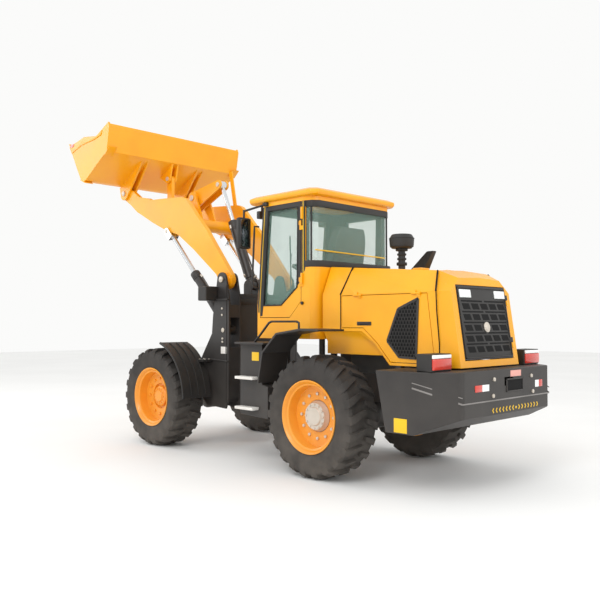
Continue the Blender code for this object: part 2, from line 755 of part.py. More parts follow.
# Front frame ---------------------------------------------------------------------------
def make_front_frame():
    ear = 0.085
    tower = arc(boom_pivot, ear, 150, 15, 8)
    tower = tower + [(-0.395, 1.76), (-0.395, 0.98), (-0.20, 0.93), (-0.20, 0.68), (-0.345, 0.68), (-0.345, 0.50),
                     (-0.45, 0.48), (-0.70, 0.50),
                     (-0.92, rail_bottom), (-1.55, rail_bottom), (-1.55, 0.80), (-1.25, 0.90), (-0.93, 1.05),
                     (-0.715, 1.36), (-0.695, 1.58)]
    outer_tower = arc(boom_pivot, ear, 150, 15, 8)
    outer_tower = outer_tower + [(-0.395, 1.76), (-0.395, 0.62), (-0.45, 0.48), (-0.80, 0.50), (-0.91, 0.60),
                                 (-0.93, 1.05), (-0.715, 1.36), (-0.695, 1.58)]
    frame = block((-tower_inner - 0.01, tower_inner + 0.01), (-0.52, -0.48), (0.52, 1.70))
    parts = []
    for sign in (-1, 1):
        parts.append(side_plate(tower, *sorted((sign * tower_inner, sign * (tower_inner + tower_plate)))))
        parts.append(side_plate(outer_tower, *sorted((sign * (tower_outer - tower_plate), sign * tower_outer))))
        web = sorted((sign * (tower_inner + 0.01), sign * (tower_outer - 0.01)))
        parts.append(block(web, (-0.425, -0.397), (0.60, 1.20)))
        parts.append(block(web, (-0.85, -0.42), (0.56, 0.60)))
        parts.append(block(web, (-0.425, -0.397), (1.55, 1.70)))
        lug = sorted((sign * (steer_front[0] - 0.05), sign * (tower_inner + 0.01)))
        parts.append(block(lug, (steer_front[1] - 0.05, steer_front[1] + 0.05),
                           (0.54, steer_front[2] - steer_boss - pin_gap)))
        ear_plate = arc(tilt_base, 0.07, 180, 0, 10) + [(tilt_base[0] + 0.07, 1.80), (tilt_base[0] - 0.07, 1.80)]
        parts.append(side_plate(ear_plate, *sorted((sign * 0.0505, sign * 0.0755))))
    parts.append(block((-tower_inner - 0.01, tower_inner + 0.01), (-0.72, -0.54), (1.78, 1.84)))
    parts.append(block((-tower_inner - 0.01, tower_inner + 0.01), (-0.92, -0.88), (rail_bottom, 0.98)))
    parts.append(block((-tower_inner - 0.01, tower_inner + 0.01), (-1.55, -1.51), (rail_bottom + 0.01, 0.79)))
    parts.append(block((-0.13, 0.13), (-0.50, -0.16), (hinge_lower + hinge_plate + pin_gap + 0.005,
                                                       hinge_upper - pin_gap - 0.005)))
    for sign in (-1, 1):
        saddle = sorted((sign * 0.27, sign * (tower_inner + 0.01)))
        parts.append(block(saddle, (-1.45, -1.25), (rail_bottom, rail_bottom + 0.04)))
    upper = hinge_fork(-1, 0.20, hinge_upper - hinge_plate - pin_gap)
    lower = hinge_fork(-1, 0.20, hinge_lower + hinge_plate + pin_gap)
    parts.extend([upper, lower])
    frame = join(frame, *parts)
    pin_hole = bar((0, 0, 0.3), (0, 0, 1.2), hinge_pin + 0.0006, 24)
    frame = cut(frame, pin_hole)
    finish(frame, "front_frame", black(), "front")


def make_front_fittings():
    for name, sign in sides:
        centre = (-axle_offset, tyre_radius)
        strip = arc(centre, 0.70, 2, 72, 14) + arc(centre, 0.68, 72, 2, 14)
        fender = side_plate(strip, 0.62, 1.02)
        bracket = block((tower_outer + seat_gap, 0.70), (-0.84, -0.70), (1.02, 1.05))
        fender = join(fender, bracket)
        lamp = block((tower_outer + seat_gap, 0.74), (-0.76, -0.60), (1.75, 1.92))
        if sign < 0:
            fender, lamp = swap_side(fender), swap_side(lamp)
        finish(fender, f"front_fender_{name}", black(), "front")
        finish(lamp, f"headlight_{name}", black(), "front")


# Boom, linkage and bucket --------------------------------------------------------------
def make_boom():
    inner, outer = boom_centre - boom_plate / 2, boom_centre + boom_plate / 2
    outline = arc(boom_pivot, 0.115, -125, 40, 12)
    outline = outline + [(-0.93, 2.647), (-1.105, 2.815), (-1.287, 3.005), (-1.37, 3.08), (-1.44, 3.108),
                         (-1.935, 3.144), (-2.157, 3.155), (-2.24, 3.19), (-2.46, 3.232), (-2.61, 3.33)]
    outline = outline + arc(bucket_pin, 0.085, 75, 240, 10)
    outline = outline + [(-2.67, 3.145), (-2.505, 3.03), (-2.31, 2.935), (-2.10, 2.836), (-1.80, 2.71),
                         (-1.52, 2.628), (-1.185, 2.413), (-0.72, 2.075)]
    boss_low, boss_high = tower_inner + tower_plate + pin_gap, tower_outer - tower_plate - pin_gap
    boom = None
    tip = bucket_ear_gap / 2 - pin_gap
    parts = []
    for sign in (-1, 1):
        arm = side_plate(outline, *sorted((sign * inner, sign * outer)))
        arm = join(arm, cross_bar(boom_pivot, 0.075, *sorted((sign * boss_low, sign * boss_high))))
        arm = join(arm, cross_bar(bucket_pin, 0.065, *sorted((sign * (boom_centre - tip),
                                                              sign * (boom_centre + tip)))))
        arm = join(arm, cross_bar(lift_eye, 0.06, *sorted((sign * (boom_centre - tip),
                                                           sign * (boom_centre + tip)))))
        parts.append(arm)
    tube = cross_bar(cross_tube, cross_radius, -inner - 0.01, inner + 0.01, 20)
    boom = join(tube, *parts)
    for sign in (-1, 1):
        cheek = arc(crank_pivot, 0.085, 200, 20, 10)
        cheek = cheek + [(-1.50, 2.84), (-1.60, 2.84)]
        boom = join(boom, side_plate(cheek, *sorted((sign * (crank_half + pin_gap),
                                                     sign * (crank_half + pin_gap + 0.025)))))
    stop = side_plate([(-1.47, 3.05), (-1.53, 3.05), (-1.64, 3.595), (-1.58, 3.60)], -0.46, -0.44)
    boom = join(boom, stop)
    finish(boom, "boom", yellow(), "boom")


crank_half = 0.095


def lever(points):
    """Outline of a plate drawn round (y, z, radius) ends, listed anticlockwise."""
    ring = []
    count = len(points)
    for index, (y, z, radius) in enumerate(points):
        here = Vector((y, z))
        into = here - Vector(points[index - 1][:2])
        away = Vector(points[(index + 1) % count][:2]) - here
        start = math.degrees(math.atan2(-into.x, into.y))
        end = math.degrees(math.atan2(-away.x, away.y))
        while end < start:
            end += 360
        ring = ring + arc((y, z), radius, start, end, max(1, int((end - start) / 18)))
    return ring


def make_linkage():
    top = (*crank_top, 0.06)
    low = (*crank_low, 0.06)
    middle = (*crank_pivot, 0.10)
    outline = lever([top, middle, low, (crank_pivot[0] - 0.04, crank_pivot[1] - 0.13, 0.04)])
    crank = cross_bar(crank_pivot, 0.07, -crank_half, crank_half)
    for sign in (-1, 1):
        crank = join(crank, side_plate(outline, *sorted((sign * 0.045, sign * 0.07))))
    finish(crank, "bell_crank", yellow(), "crank")
    link = side_plate(lever([(*link_pin, 0.055), (*crank_low, 0.055)]), -0.025, 0.025)
    link = join(link, cross_bar(link_pin, 0.05, -0.0345, 0.0345), cross_bar(crank_low, 0.05, -0.0445, 0.0445))
    finish(link, "bucket_link", yellow(), "link")


def bucket_profile(offset):
    """Closed (y, z) profile of the bucket's inside, moved in by offset."""
    lip, heel, fold, rear = (Vector(p) for p in (bucket_lip, bucket_heel, bucket_fold, bucket_rear_top))
    floor_way = (heel - lip).normalized()
    back_way = (fold - heel).normalized()
    top_way = (rear - fold).normalized()
    normal_floor = Vector((-floor_way.y, floor_way.x))
    normal_back = Vector((-back_way.y, back_way.x))
    normal_top = Vector((-top_way.y, top_way.x))
    heel_round = 0.12
    heel_in = heel - floor_way * heel_round
    heel_out = heel + back_way * heel_round
    curve = []
    for i in range(7):
        t = i / 6
        point = heel_in * (1 - t) ** 2 + heel * 2 * t * (1 - t) + heel_out * t ** 2
        normal = (normal_floor * (1 - t) + normal_back * t).normalized()
        curve.append(point + normal * offset)
    corner = fold + (normal_back + normal_top).normalized() * offset
    return [lip + normal_floor * offset] + curve + [corner, rear + normal_top * offset]




def make_bucket():
    wall = 0.022
    outer = [tuple(p) for p in bucket_profile(0.0)]
    edge = [(-2.245, 4.13), (-2.408, 4.062), (-2.566, 3.998), (-2.897, 4.046)]
    bucket = side_plate(outer + edge, -bucket_half, bucket_half)
    inner = bucket_profile(wall)
    lip_way = (Vector(bucket_lip) - Vector(bucket_heel)).normalized()
    top_way = (Vector(bucket_rear_top) - Vector(bucket_fold)).normalized()
    inner[0] = inner[0] + lip_way * 0.3
    inner[-1] = inner[-1] + top_way * 0.3
    room = [tuple(p) for p in inner]
    bucket = cut(bucket, side_plate(room, -bucket_half + wall, bucket_half - wall))
    back_way = (Vector(bucket_fold) - Vector(bucket_heel)).normalized()
    normal = Vector((-back_way.y, back_way.x))
    for sign in (-1, 1):
        for low in (boom_centre - bucket_ear_gap / 2 - 0.028, boom_centre + bucket_ear_gap / 2):
            ear = arc(bucket_pin, 0.095, 215, 330, 6)
            foot_rear = Vector(bucket_fold) + normal * 0.010 - back_way * 0.02
            foot_front = Vector(bucket_heel) + normal * 0.010 + back_way * 0.02
            outline = ear + [tuple(foot_rear), tuple(foot_front)]
            bucket = join(bucket, side_plate(outline, *sorted((sign * low, sign * (low + 0.028)))))
        outline = arc(link_pin, 0.06, 250, 340, 5)
        foot_rear = Vector(bucket_fold) + normal * 0.010 - back_way * 0.01
        foot_front = Vector(bucket_fold) + normal * 0.010 - back_way * 0.36
        outline = outline + [tuple(foot_rear), tuple(foot_front)]
        bucket = join(bucket, side_plate(outline, *sorted((sign * 0.035, sign * 0.06))))
    finish(bucket, "bucket", yellow(), "bucket")


# Cylinders ---------------------------------------------------------------------------------
def make_cylinder(names, carriers, base, eye, barrel_length, barrel_radius, rod_radius, bore,
                  base_half, eye_half, x, eye_fork=None):
    """A barrel with a base eye and a rod with its own eye, both eyes turning about X.

    bore is the barrel's hollow depth; the rod reaches rod_inside down it at rest.
    """
    start, end = Vector((x, *base)), Vector((x, *eye))
    way = (end - start).normalized()
    gland = start + way * barrel_length
    neck_radius = min(barrel_radius * 0.85, base_half * 0.85)
    barrel = bar(start + way * 0.105, gland, barrel_radius, 18)
    barrel = join(barrel, bar(start, start + way * 0.14, neck_radius, 14))
    barrel = join(barrel, cross_bar(base, barrel_radius, x - base_half, x + base_half, 16))
    barrel = cut(barrel, bar(gland - way * bore, gland + way * 0.05, rod_radius + 0.0008, 14))
    finish(barrel, names[0], black(), carriers[0])
    if eye_fork is None:
        rod = bar(gland - way * rod_inside, end - way * 0.045, rod_radius, 14)
        rod = join(rod, cross_bar(eye, 0.05, x - eye_half, x + eye_half, 16))
    else:
        neck = end - way * 0.100
        rod = bar(gland - way * rod_inside, neck, rod_radius, 14)
        side = Vector((0, -way.z, way.y)) * 0.045
        yoke = [neck - way * 0.035 - side * 0.7, neck - way * 0.035 + side * 0.7, neck + way * 0.012 + side * 0.9,
                neck + way * 0.012 - side * 0.9]
        wide = eye_fork + 0.022
        rod = join(rod, side_plate([(p.y, p.z) for p in yoke], x - wide, x + wide))
        ring = [neck - way * 0.03 + side, end + side, end + way * 0.032 + side * 0.7,
                end + way * 0.045, end + way * 0.032 - side * 0.7, end - side, neck - way * 0.03 - side]
        for sign in (-1, 1):
            low, high = sorted((x + sign * eye_fork, x + sign * (eye_fork + 0.025)))
            rod = join(rod, side_plate([(p.y, p.z) for p in ring], low, high))
    finish(rod, names[1], chrome(), carriers[1])


def make_cylinders():
    gap_half = (tower_outer - tower_plate - tower_inner - tower_plate) / 2 - pin_gap
    for name, sign in sides:
        make_cylinder((f"lift_barrel_{name}", f"lift_rod_{name}"), (f"lift_barrel_{name}", f"lift_rod_{name}"),
                      lift_base, lift_eye, lift_barrel_length, lift_barrel, lift_rod, lift_bore, gap_half, 0.03,
                      sign * boom_centre, eye_fork=bucket_ear_gap / 2)
        start = Vector((sign * steer_rear[0], *steer_rear[1:]))
        end = Vector((sign * steer_front[0], *steer_front[1:]))
        way = (end - start).normalized()
        gland = start + way * steer_barrel_length
        barrel = join(bar(start + way * 0.02, gland, steer_barrel, 16),
                      bar(start - Vector((0, 0, steer_boss)), start + Vector((0, 0, steer_boss)), 0.045, 16))
        barrel = cut(barrel, bar(gland - way * steer_bore, gland + way * 0.02, steer_rod + 0.0008, 12))
        finish(barrel, f"steer_barrel_{name}", black(), f"steer_barrel_{name}")
        rod = join(bar(gland - way * steer_bore / 2, end - way * 0.02, steer_rod, 12),
                   bar(end - Vector((0, 0, steer_boss)), end + Vector((0, 0, steer_boss)), 0.034, 16))
        finish(rod, f"steer_rod_{name}", chrome(), f"steer_rod_{name}")
    make_cylinder(("tilt_barrel", "tilt_rod"), ("tilt_barrel", "tilt_rod"), tilt_base, crank_top,
                  tilt_barrel_length, tilt_barrel, tilt_rod, tilt_bore, 0.05, 0.0445, 0.0)


# Build ----------------------------------------------------------------------------------------
def clear_scene():
    for old in list(bpy.data.objects):
        bpy.data.objects.remove(old)


def centre_on_ground():
    """Slide the whole machine so that its box is centred over the origin."""
    bpy.context.view_layer.update()
    reach = []
    for piece in bpy.data.objects:
        if piece.type == "MESH":
            reach.extend((piece.matrix_world @ vertex.co).y for vertex in piece.data.vertices)
    bodies["machine"].location.y = -(min(reach) + max(reach)) / 2
    bpy.context.view_layer.update()


def main():
    clear_scene()
    make_bodies()
    make_wheels()
    make_axle("front_axle", -axle_offset, "front")
    make_axle("rear_axle", axle_offset, "rear")
    make_rear_frame()
    make_engine()
    make_counterweight()
    make_hood()
    make_cab()
    make_cab_inside()
    make_tanks_and_fenders()
    make_hood_fittings()
    make_mirrors()
    make_front_frame()
    make_front_fittings()
    make_boom()
    make_linkage()
    make_bucket()
    make_cylinders()
    centre_on_ground()


main()
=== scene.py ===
import json
import math
import bpy
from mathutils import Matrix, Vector

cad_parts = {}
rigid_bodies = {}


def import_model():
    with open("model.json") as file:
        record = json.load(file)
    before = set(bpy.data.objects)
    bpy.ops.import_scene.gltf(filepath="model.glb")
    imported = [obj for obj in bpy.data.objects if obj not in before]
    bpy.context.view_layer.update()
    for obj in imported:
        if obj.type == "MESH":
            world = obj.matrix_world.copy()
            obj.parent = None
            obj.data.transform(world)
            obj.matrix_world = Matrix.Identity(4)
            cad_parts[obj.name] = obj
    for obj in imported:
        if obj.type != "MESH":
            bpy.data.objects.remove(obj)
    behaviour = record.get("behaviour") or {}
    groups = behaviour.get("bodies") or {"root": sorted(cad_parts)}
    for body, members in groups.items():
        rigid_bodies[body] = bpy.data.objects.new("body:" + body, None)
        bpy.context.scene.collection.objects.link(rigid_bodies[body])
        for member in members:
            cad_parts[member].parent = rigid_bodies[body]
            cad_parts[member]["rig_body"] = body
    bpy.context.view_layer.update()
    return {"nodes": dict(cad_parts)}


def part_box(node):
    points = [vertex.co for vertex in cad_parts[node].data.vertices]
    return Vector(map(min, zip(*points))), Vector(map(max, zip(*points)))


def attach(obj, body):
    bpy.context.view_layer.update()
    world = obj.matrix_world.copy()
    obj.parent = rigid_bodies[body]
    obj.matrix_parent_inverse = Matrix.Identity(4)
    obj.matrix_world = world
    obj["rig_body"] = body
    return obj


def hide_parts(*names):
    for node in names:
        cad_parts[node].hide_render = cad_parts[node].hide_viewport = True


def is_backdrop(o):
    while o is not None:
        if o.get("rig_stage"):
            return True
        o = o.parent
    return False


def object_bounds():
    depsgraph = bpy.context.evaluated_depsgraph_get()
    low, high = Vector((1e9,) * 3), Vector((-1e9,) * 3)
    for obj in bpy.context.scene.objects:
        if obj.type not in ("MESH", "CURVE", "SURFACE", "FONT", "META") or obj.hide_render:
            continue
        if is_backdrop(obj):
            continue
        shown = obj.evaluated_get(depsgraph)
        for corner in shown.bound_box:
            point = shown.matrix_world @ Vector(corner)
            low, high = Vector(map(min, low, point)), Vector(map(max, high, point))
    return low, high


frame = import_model()
rearOverhang = 2.30  # from the articulation pin to the rear frame's end
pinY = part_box("rear_frame")[1].y - rearOverhang
sides = (("left", 1), ("right", -1))


def at(x, y, z):
    # metres: x from the middle, y back from the articulation pin, z from the ground
    return Vector((x, y + pinY, z))


# finishes

def hexColour(text):
    channels = [int(text[i:i + 2], 16) / 255 for i in (1, 3, 5)]
    linear = [c / 12.92 if c <= 0.04045 else ((c + 0.055) / 1.055) ** 2.4 for c in channels]
    return (*linear, 1.0)


def addNode(tree, kind, settings=None, links=None):
    node = tree.nodes.new(kind)
    for key, value in (settings or {}).items():
        if hasattr(node, key):
            setattr(node, key, value)
        else:
            node.inputs[key].default_value = value
    for socket, source in (links or {}).items():
        tree.links.new(source, node.inputs[socket])
    return node


dust = {"colour": "#8C8378", "from": 0.1, "to": 1.3}  # it thins out between these heights


def makeFinish(name, look):
    # base tone broken up by a slow noise, a fine grain in the bump, and dust that settles low down
    material = bpy.data.materials.new(name)
    material.use_nodes = True
    tree = material.node_tree
    shader = tree.nodes["Principled BSDF"]
    place = addNode(tree, "ShaderNodeTexCoord").outputs["Object"]
    drift = addNode(tree, "ShaderNodeTexNoise", {"Scale": look.get("driftScale", 2.5), "Detail": 4.0},
                    {"Vector": place})
    grain = addNode(tree, "ShaderNodeTexNoise", {"Scale": look.get("grainScale", 180.0), "Detail": 3.0},
                    {"Vector": place})
    tones = addNode(tree, "ShaderNodeValToRGB", links={"Fac": drift.outputs["Fac"]})
    for stop, position, key in zip(tones.color_ramp.elements, (0.35, 0.65), ("shade", "colour")):
        stop.position = position
        stop.color = hexColour(look[key])
    colour = tones.outputs["Color"]
    if look.get("dust"):
        height = addNode(tree, "ShaderNodeSeparateXYZ", links={"Vector": place})
        low = addNode(tree, "ShaderNodeMapRange",
                      {"From Min": dust["from"], "From Max": dust["to"], "To Min": look["dust"],
                       "To Max": 0.0},
                      {"Value": height.outputs["Z"]})
        patch = addNode(tree, "ShaderNodeMath", {"operation": "MULTIPLY"},
                        {0: low.outputs["Result"], 1: drift.outputs["Fac"]})
        mix = addNode(tree, "ShaderNodeMix", {"data_type": "RGBA"}, {"Factor": patch.outputs["Value"]})
        mix.inputs[7].default_value = hexColour(dust["colour"])
        tree.links.new(colour, mix.inputs[6])
        colour = mix.outputs[2]
    tree.links.new(colour, shader.inputs["Base Color"])
    gloss = addNode(tree, "ShaderNodeMapRange",
                    {"To Min": look["roughness"] - 0.05, "To Max": look["roughness"] + 0.07},
                    {"Value": drift.outputs["Fac"]})
    tree.links.new(gloss.outputs["Result"], shader.inputs["Roughness"])
    bump = addNode(tree, "ShaderNodeBump",
                   {"Strength": look.get("bump", 0.08), "Distance": look.get("bumpDepth", 0.001)},
                   {"Height": grain.outputs["Fac"]})
    tree.links.new(bump.outputs["Normal"], shader.inputs["Normal"])
    shader.inputs["Metallic"].default_value = look.get("metallic", 0.0)
    shader.inputs["Coat Weight"].default_value = look.get("coat", 0.0)
    shader.inputs["Coat Roughness"].default_value = 0.12
    if look.get("emission"):
        shader.inputs["Emission Color"].default_value = hexColour(look["emission"])
        shader.inputs["Emission Strength"].default_value = look.get("glow", 0.3)
    return material


def makeGlass(name, look):
    material = bpy.data.materials.new(name)
    material.use_nodes = True
    tree = material.node_tree
    shader = tree.nodes["Principled BSDF"]
    place = addNode(tree, "ShaderNodeTexCoord").outputs["Object"]
    film = addNode(tree, "ShaderNodeTexNoise", {"Scale": look["driftScale"], "Detail": 2.0},
                   {"Vector": place})
    tint = addNode(tree, "ShaderNodeValToRGB", links={"Fac": film.outputs["Fac"]})
    tint.color_ramp.elements[0].color = hexColour(look["shade"])
    tint.color_ramp.elements[1].color = hexColour(look["colour"])
    tree.links.new(tint.outputs["Color"], shader.inputs["Base Color"])
    for socket, value in (("Roughness", 0.03), ("IOR", 1.52), ("Alpha", look["alpha"]),
                          ("Specular IOR Level", 0.8), ("Coat Weight", 0.6)):
        shader.inputs[socket].default_value = value
    material.surface_render_method = "BLENDED"
    return material


looks = {
    # enamel over steel plate: sprayed, so it has a soft orange peel under a clear gloss
    "yellowEnamel": {"colour": "#F7AC06", "shade": "#F3A404", "roughness": 0.38, "coat": 0.18,
                     "grainScale": 90.0, "bump": 0.05, "dust": 0.10},
    "rimEnamel": {"colour": "#F7A423", "shade": "#EE9718", "roughness": 0.38, "coat": 0.25,
                  "bump": 0.08, "dust": 0.25},
    # satin chassis black: a thin sprayed coat that greys where dust lies
    "chassisBlack": {"colour": "#33302E", "shade": "#292625", "roughness": 0.45, "coat": 0.1,
                     "bump": 0.12, "dust": 0.22},
    # painted grey iron: sand-cast skin shows through the coat as a coarse grain
    "castBlack": {"colour": "#353230", "shade": "#2C2928", "roughness": 0.5, "grainScale": 60.0,
                  "bump": 0.22, "bumpDepth": 0.002, "dust": 0.18},
    # vulcanised rubber: matt, brown-grey where it has run in dust
    "treadRubber": {"colour": "#2E2B2A", "shade": "#242221", "roughness": 0.82, "driftScale": 6.0,
                    "grainScale": 120.0, "bump": 0.3, "bumpDepth": 0.0015, "dust": 0.45},
    # hard-chromed rod: ground and polished
    "hardChrome": {"colour": "#E2E4E6", "shade": "#D2D5D8", "roughness": 0.16, "metallic": 1.0,
                   "bump": 0.02},
    "castSteel": {"colour": "#6B6A68", "shade": "#555452", "roughness": 0.55, "metallic": 0.6,
                  "bump": 0.25, "grainScale": 70.0},
    # pale zinc-flake coat of pins, bolts and the rear hub covers
    "zincCoat": {"colour": "#DDD6CC", "shade": "#C7BDAF", "roughness": 0.42, "metallic": 0.35,
                 "bump": 0.12},
    # moulded ABS: fine spark-eroded grain
    "mouldedBlack": {"colour": "#2B2927", "shade": "#232120", "roughness": 0.5, "grainScale": 320.0,
                     "bump": 0.12},
    "seatVinyl": {"colour": "#4A4E4C", "shade": "#3E4240", "roughness": 0.62, "grainScale": 260.0,
                  "bump": 0.3},
    "lensRed": {"colour": "#D23A28", "shade": "#B92C1E", "roughness": 0.18, "coat": 0.8, "bump": 0.02,
                "emission": "#C02818", "glow": 0.12},
    "lensClear": {"colour": "#F1F2F0", "shade": "#DCE0DF", "roughness": 0.15, "coat": 0.8, "bump": 0.02,
                  "emission": "#FFFFFF", "glow": 0.12},
    "plateWhite": {"colour": "#ECE9E4", "shade": "#DFDBD5", "roughness": 0.4, "bump": 0.03},
    "platePink": {"colour": "#E9A79B", "shade": "#DE998C", "roughness": 0.4, "bump": 0.03},
    "signalYellow": {"colour": "#F4C519", "shade": "#E8B912", "roughness": 0.35, "bump": 0.03},
    "hoseRubber": {"colour": "#1F1E1D", "shade": "#191817", "roughness": 0.6, "bump": 0.1},
    "mirrorGlass": {"colour": "#5A5C60", "shade": "#505257", "roughness": 0.12, "metallic": 1.0,
                    "bump": 0.0},
    # near black: painted shade in panel gaps, slots, recesses and openings
    "paintedShadeBlack": {"colour": "#070606", "shade": "#040404", "roughness": 0.95, "bump": 0.1},
    # cast iron ribs in a light grey: a painted highlight along the counterweight's crease
    "paintedHighlightGrey": {"colour": "#8B8785", "shade": "#77736F", "roughness": 0.4, "bump": 0.1},
}
finishes = {name: makeFinish(name, look) for name, look in looks.items()}
# green-tinted safety glass under a thin film of dust
finishes["tintedGlass"] = makeGlass("tintedGlass", {"shade": "#93BFAE", "colour": "#A9CFC0", "alpha": 0.17,
                                                    "driftScale": 3.0})
print("finishes done")


# modelling

def deselect():
    if bpy.context.object and bpy.context.object.mode != "OBJECT":
        bpy.ops.object.mode_set(mode="OBJECT")
    bpy.ops.object.select_all(action="DESELECT")


def makeActive(piece):
    deselect()
    piece.select_set(True)
    bpy.context.view_layer.objects.active = piece


def applyPlace(piece):
    makeActive(piece)
    bpy.ops.object.transform_apply(location=True, rotation=True, scale=True)


def addModifier(piece, kind, **settings):
    makeActive(piece)
    modifier = piece.modifiers.new(kind.lower(), kind)
    for key, value in settings.items():
        setattr(modifier, key, value)
    bpy.ops.object.modifier_apply(modifier=modifier.name)
    return piece


def easeEdges(piece, width, angle):
    # rounds the edges that turn by more than that many degrees
    return addModifier(piece, "BEVEL", width=width, segments=2, limit_method="ANGLE",
                       angle_limit=math.radians(angle))


def boxPiece(low, high, bevel=0.0):
    deselect()
    low, high = Vector(low), Vector(high)
    bpy.ops.mesh.primitive_cube_add(size=1, location=(low + high) / 2)
    piece = bpy.context.object
    piece.scale = [abs(c) for c in high - low]
    applyPlace(piece)
    if bevel:
        addModifier(piece, "BEVEL", width=bevel, segments=2)
    return piece


def sideBox(side, xs, ys, zs, bevel=0.0):
    # a box by its (low, high) in each direction, on the left or mirrored to the right
    return boxPiece(at(side * xs[0], ys[0], zs[0]), at(side * xs[1], ys[1], zs[1]), bevel)


def rodPiece(start, end, radius, vertices=20, bevel=0.0):
    deselect()
    start, end = Vector(start), Vector(end)
    turn = (end - start).to_track_quat("Z", "Y").to_euler()
    bpy.ops.mesh.primitive_cylinder_add(vertices=vertices, radius=radius, depth=(end - start).length,
                                        location=(start + end) / 2, rotation=turn)
    piece = bpy.context.object
    applyPlace(piece)
    return easeEdges(piece, bevel, 50) if bevel else piece


def platePiece(corners, push, bevel=0.0):
    # a flat face through the corners, then extruded by push
    deselect()
    bpy.ops.mesh.primitive_circle_add(vertices=len(corners), fill_type="NGON")
    piece = bpy.context.object
    for vertex, corner in zip(piece.data.vertices, corners):
        vertex.co = corner
    bpy.ops.object.mode_set(mode="EDIT")
    bpy.ops.mesh.select_all(action="SELECT")
    bpy.ops.mesh.extrude_region_move(TRANSFORM_OT_translate={"value": tuple(push)})
    bpy.ops.mesh.select_all(action="SELECT")
    bpy.ops.mesh.normals_make_consistent(inside=False)
    bpy.ops.object.mode_set(mode="OBJECT")
    piece.location = (0, 0, 0)
    return easeEdges(piece, bevel, 40) if bevel else piece


def crossPin(side, xs, place, radius, vertices=20, bevel=0.003):
    # the end of a pin across the machine, between two x
    return rodPiece(at(side * xs[0], *place), at(side * xs[1], *place), radius, vertices, bevel)


def sidePlate(outline, low, high, bevel=0.0):
    # a plate with that (y, z) outline, between two x
    return platePiece([at(low, y, z) for y, z in outline], (high - low, 0, 0), bevel)


def mirrored(side, inner, outer):
    return sorted((side * inner, side * outer))


def spunPiece(profile, centre, steps=48):
    # (x, radius) points turned about the X line through centre
    deselect()
    bpy.ops.mesh.primitive_circle_add(vertices=len(profile), fill_type="NOTHING")
    piece = bpy.context.object
    for vertex, (x, radius) in zip(piece.data.vertices, profile):
        vertex.co = (x, 0, radius)
    bpy.ops.object.mode_set(mode="EDIT")
    bpy.ops.mesh.select_all(action="SELECT")
    bpy.ops.mesh.spin(steps=steps, angle=math.tau, center=(0, 0, 0), axis=(1, 0, 0))
    bpy.ops.mesh.select_all(action="SELECT")
    bpy.ops.mesh.remove_doubles(threshold=0.00005)
    bpy.ops.mesh.delete_loose(use_verts=True, use_edges=True, use_faces=False)
    bpy.ops.mesh.select_all(action="SELECT")
    bpy.ops.mesh.normals_make_consistent(inside=False)
    bpy.ops.object.mode_set(mode="OBJECT")
    piece.location = centre
    applyPlace(piece)
    return piece


def tubePiece(points, radius, sides=10, smooth=True):
    deselect()
    bpy.ops.curve.primitive_nurbs_path_add()
    piece = bpy.context.object
    curve = piece.data
    curve.splines.clear()
    spline = curve.splines.new("NURBS" if smooth else "POLY")
    spline.points.add(len(points) - 1)
    for point, place in zip(spline.points, points):
        point.co = (*place, 1)
    if smooth:
        spline.order_u = 4
        spline.use_endpoint_u = True
    spline.resolution_u = 6
    curve.dimensions = "3D"
    curve.bevel_depth = radius
    curve.bevel_resolution = max(0, sides // 4 - 1)
    curve.use_fill_caps = True
    piece.location = (0, 0, 0)
    makeActive(piece)
    bpy.ops.object.convert(target="MESH")
    return bpy.context.object


def boltPiece(place, normal, radius=0.010, height=0.008):
    place, normal = Vector(place), Vector(normal).normalized()
    return rodPiece(place - normal * 0.002, place + normal * height, radius, 6, radius * 0.12)


def nodeCopy(name, bevel=0.004):
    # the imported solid, merged, its flat faces made whole again, with its edges eased
    node = frame["nodes"][name]
    piece = node.copy()
    piece.data = node.data.copy()
    piece.parent = None
    piece.hide_render = piece.hide_viewport = False
    for key in list(piece.keys()):
        del piece[key]
    bpy.context.scene.collection.objects.link(piece)
    makeActive(piece)
    bpy.ops.object.mode_set(mode="EDIT")
    bpy.ops.mesh.select_all(action="SELECT")
    bpy.ops.mesh.remove_doubles(threshold=0.00003)
    bpy.ops.mesh.dissolve_limited(angle_limit=math.radians(1.0))
    bpy.ops.object.mode_set(mode="OBJECT")
    return easeEdges(piece, bevel, 35) if bevel else piece


def joinPieces(parts):
    deselect()
    for part in parts:
        part.select_set(True)
    bpy.context.view_layer.objects.active = parts[0]
    if len(parts) > 1:
        bpy.ops.object.join()
    return bpy.context.object


def finishPiece(parts, name, finish, body, nodes=(), smooth=35):
    piece = joinPieces(list(parts))
    makeActive(piece)
    bpy.ops.object.mode_set(mode="EDIT")
    bpy.ops.mesh.select_all(action="SELECT")
    bpy.ops.mesh.normals_make_consistent(inside=False)
    bpy.ops.object.mode_set(mode="OBJECT")
    bpy.ops.object.shade_smooth_by_angle(angle=math.radians(smooth))
    piece.name = piece.data.name = name
    piece.data.materials.clear()
    piece.data.materials.append(finishes[finish])
    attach(piece, body)
    if nodes:
        addModifier(piece, "WEIGHTED_NORMAL", keep_sharp=True, weight=80)
        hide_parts(*nodes)
    return piece


def bodyOf(node):
    return frame["nodes"][node]["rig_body"]


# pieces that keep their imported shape, with eased edges

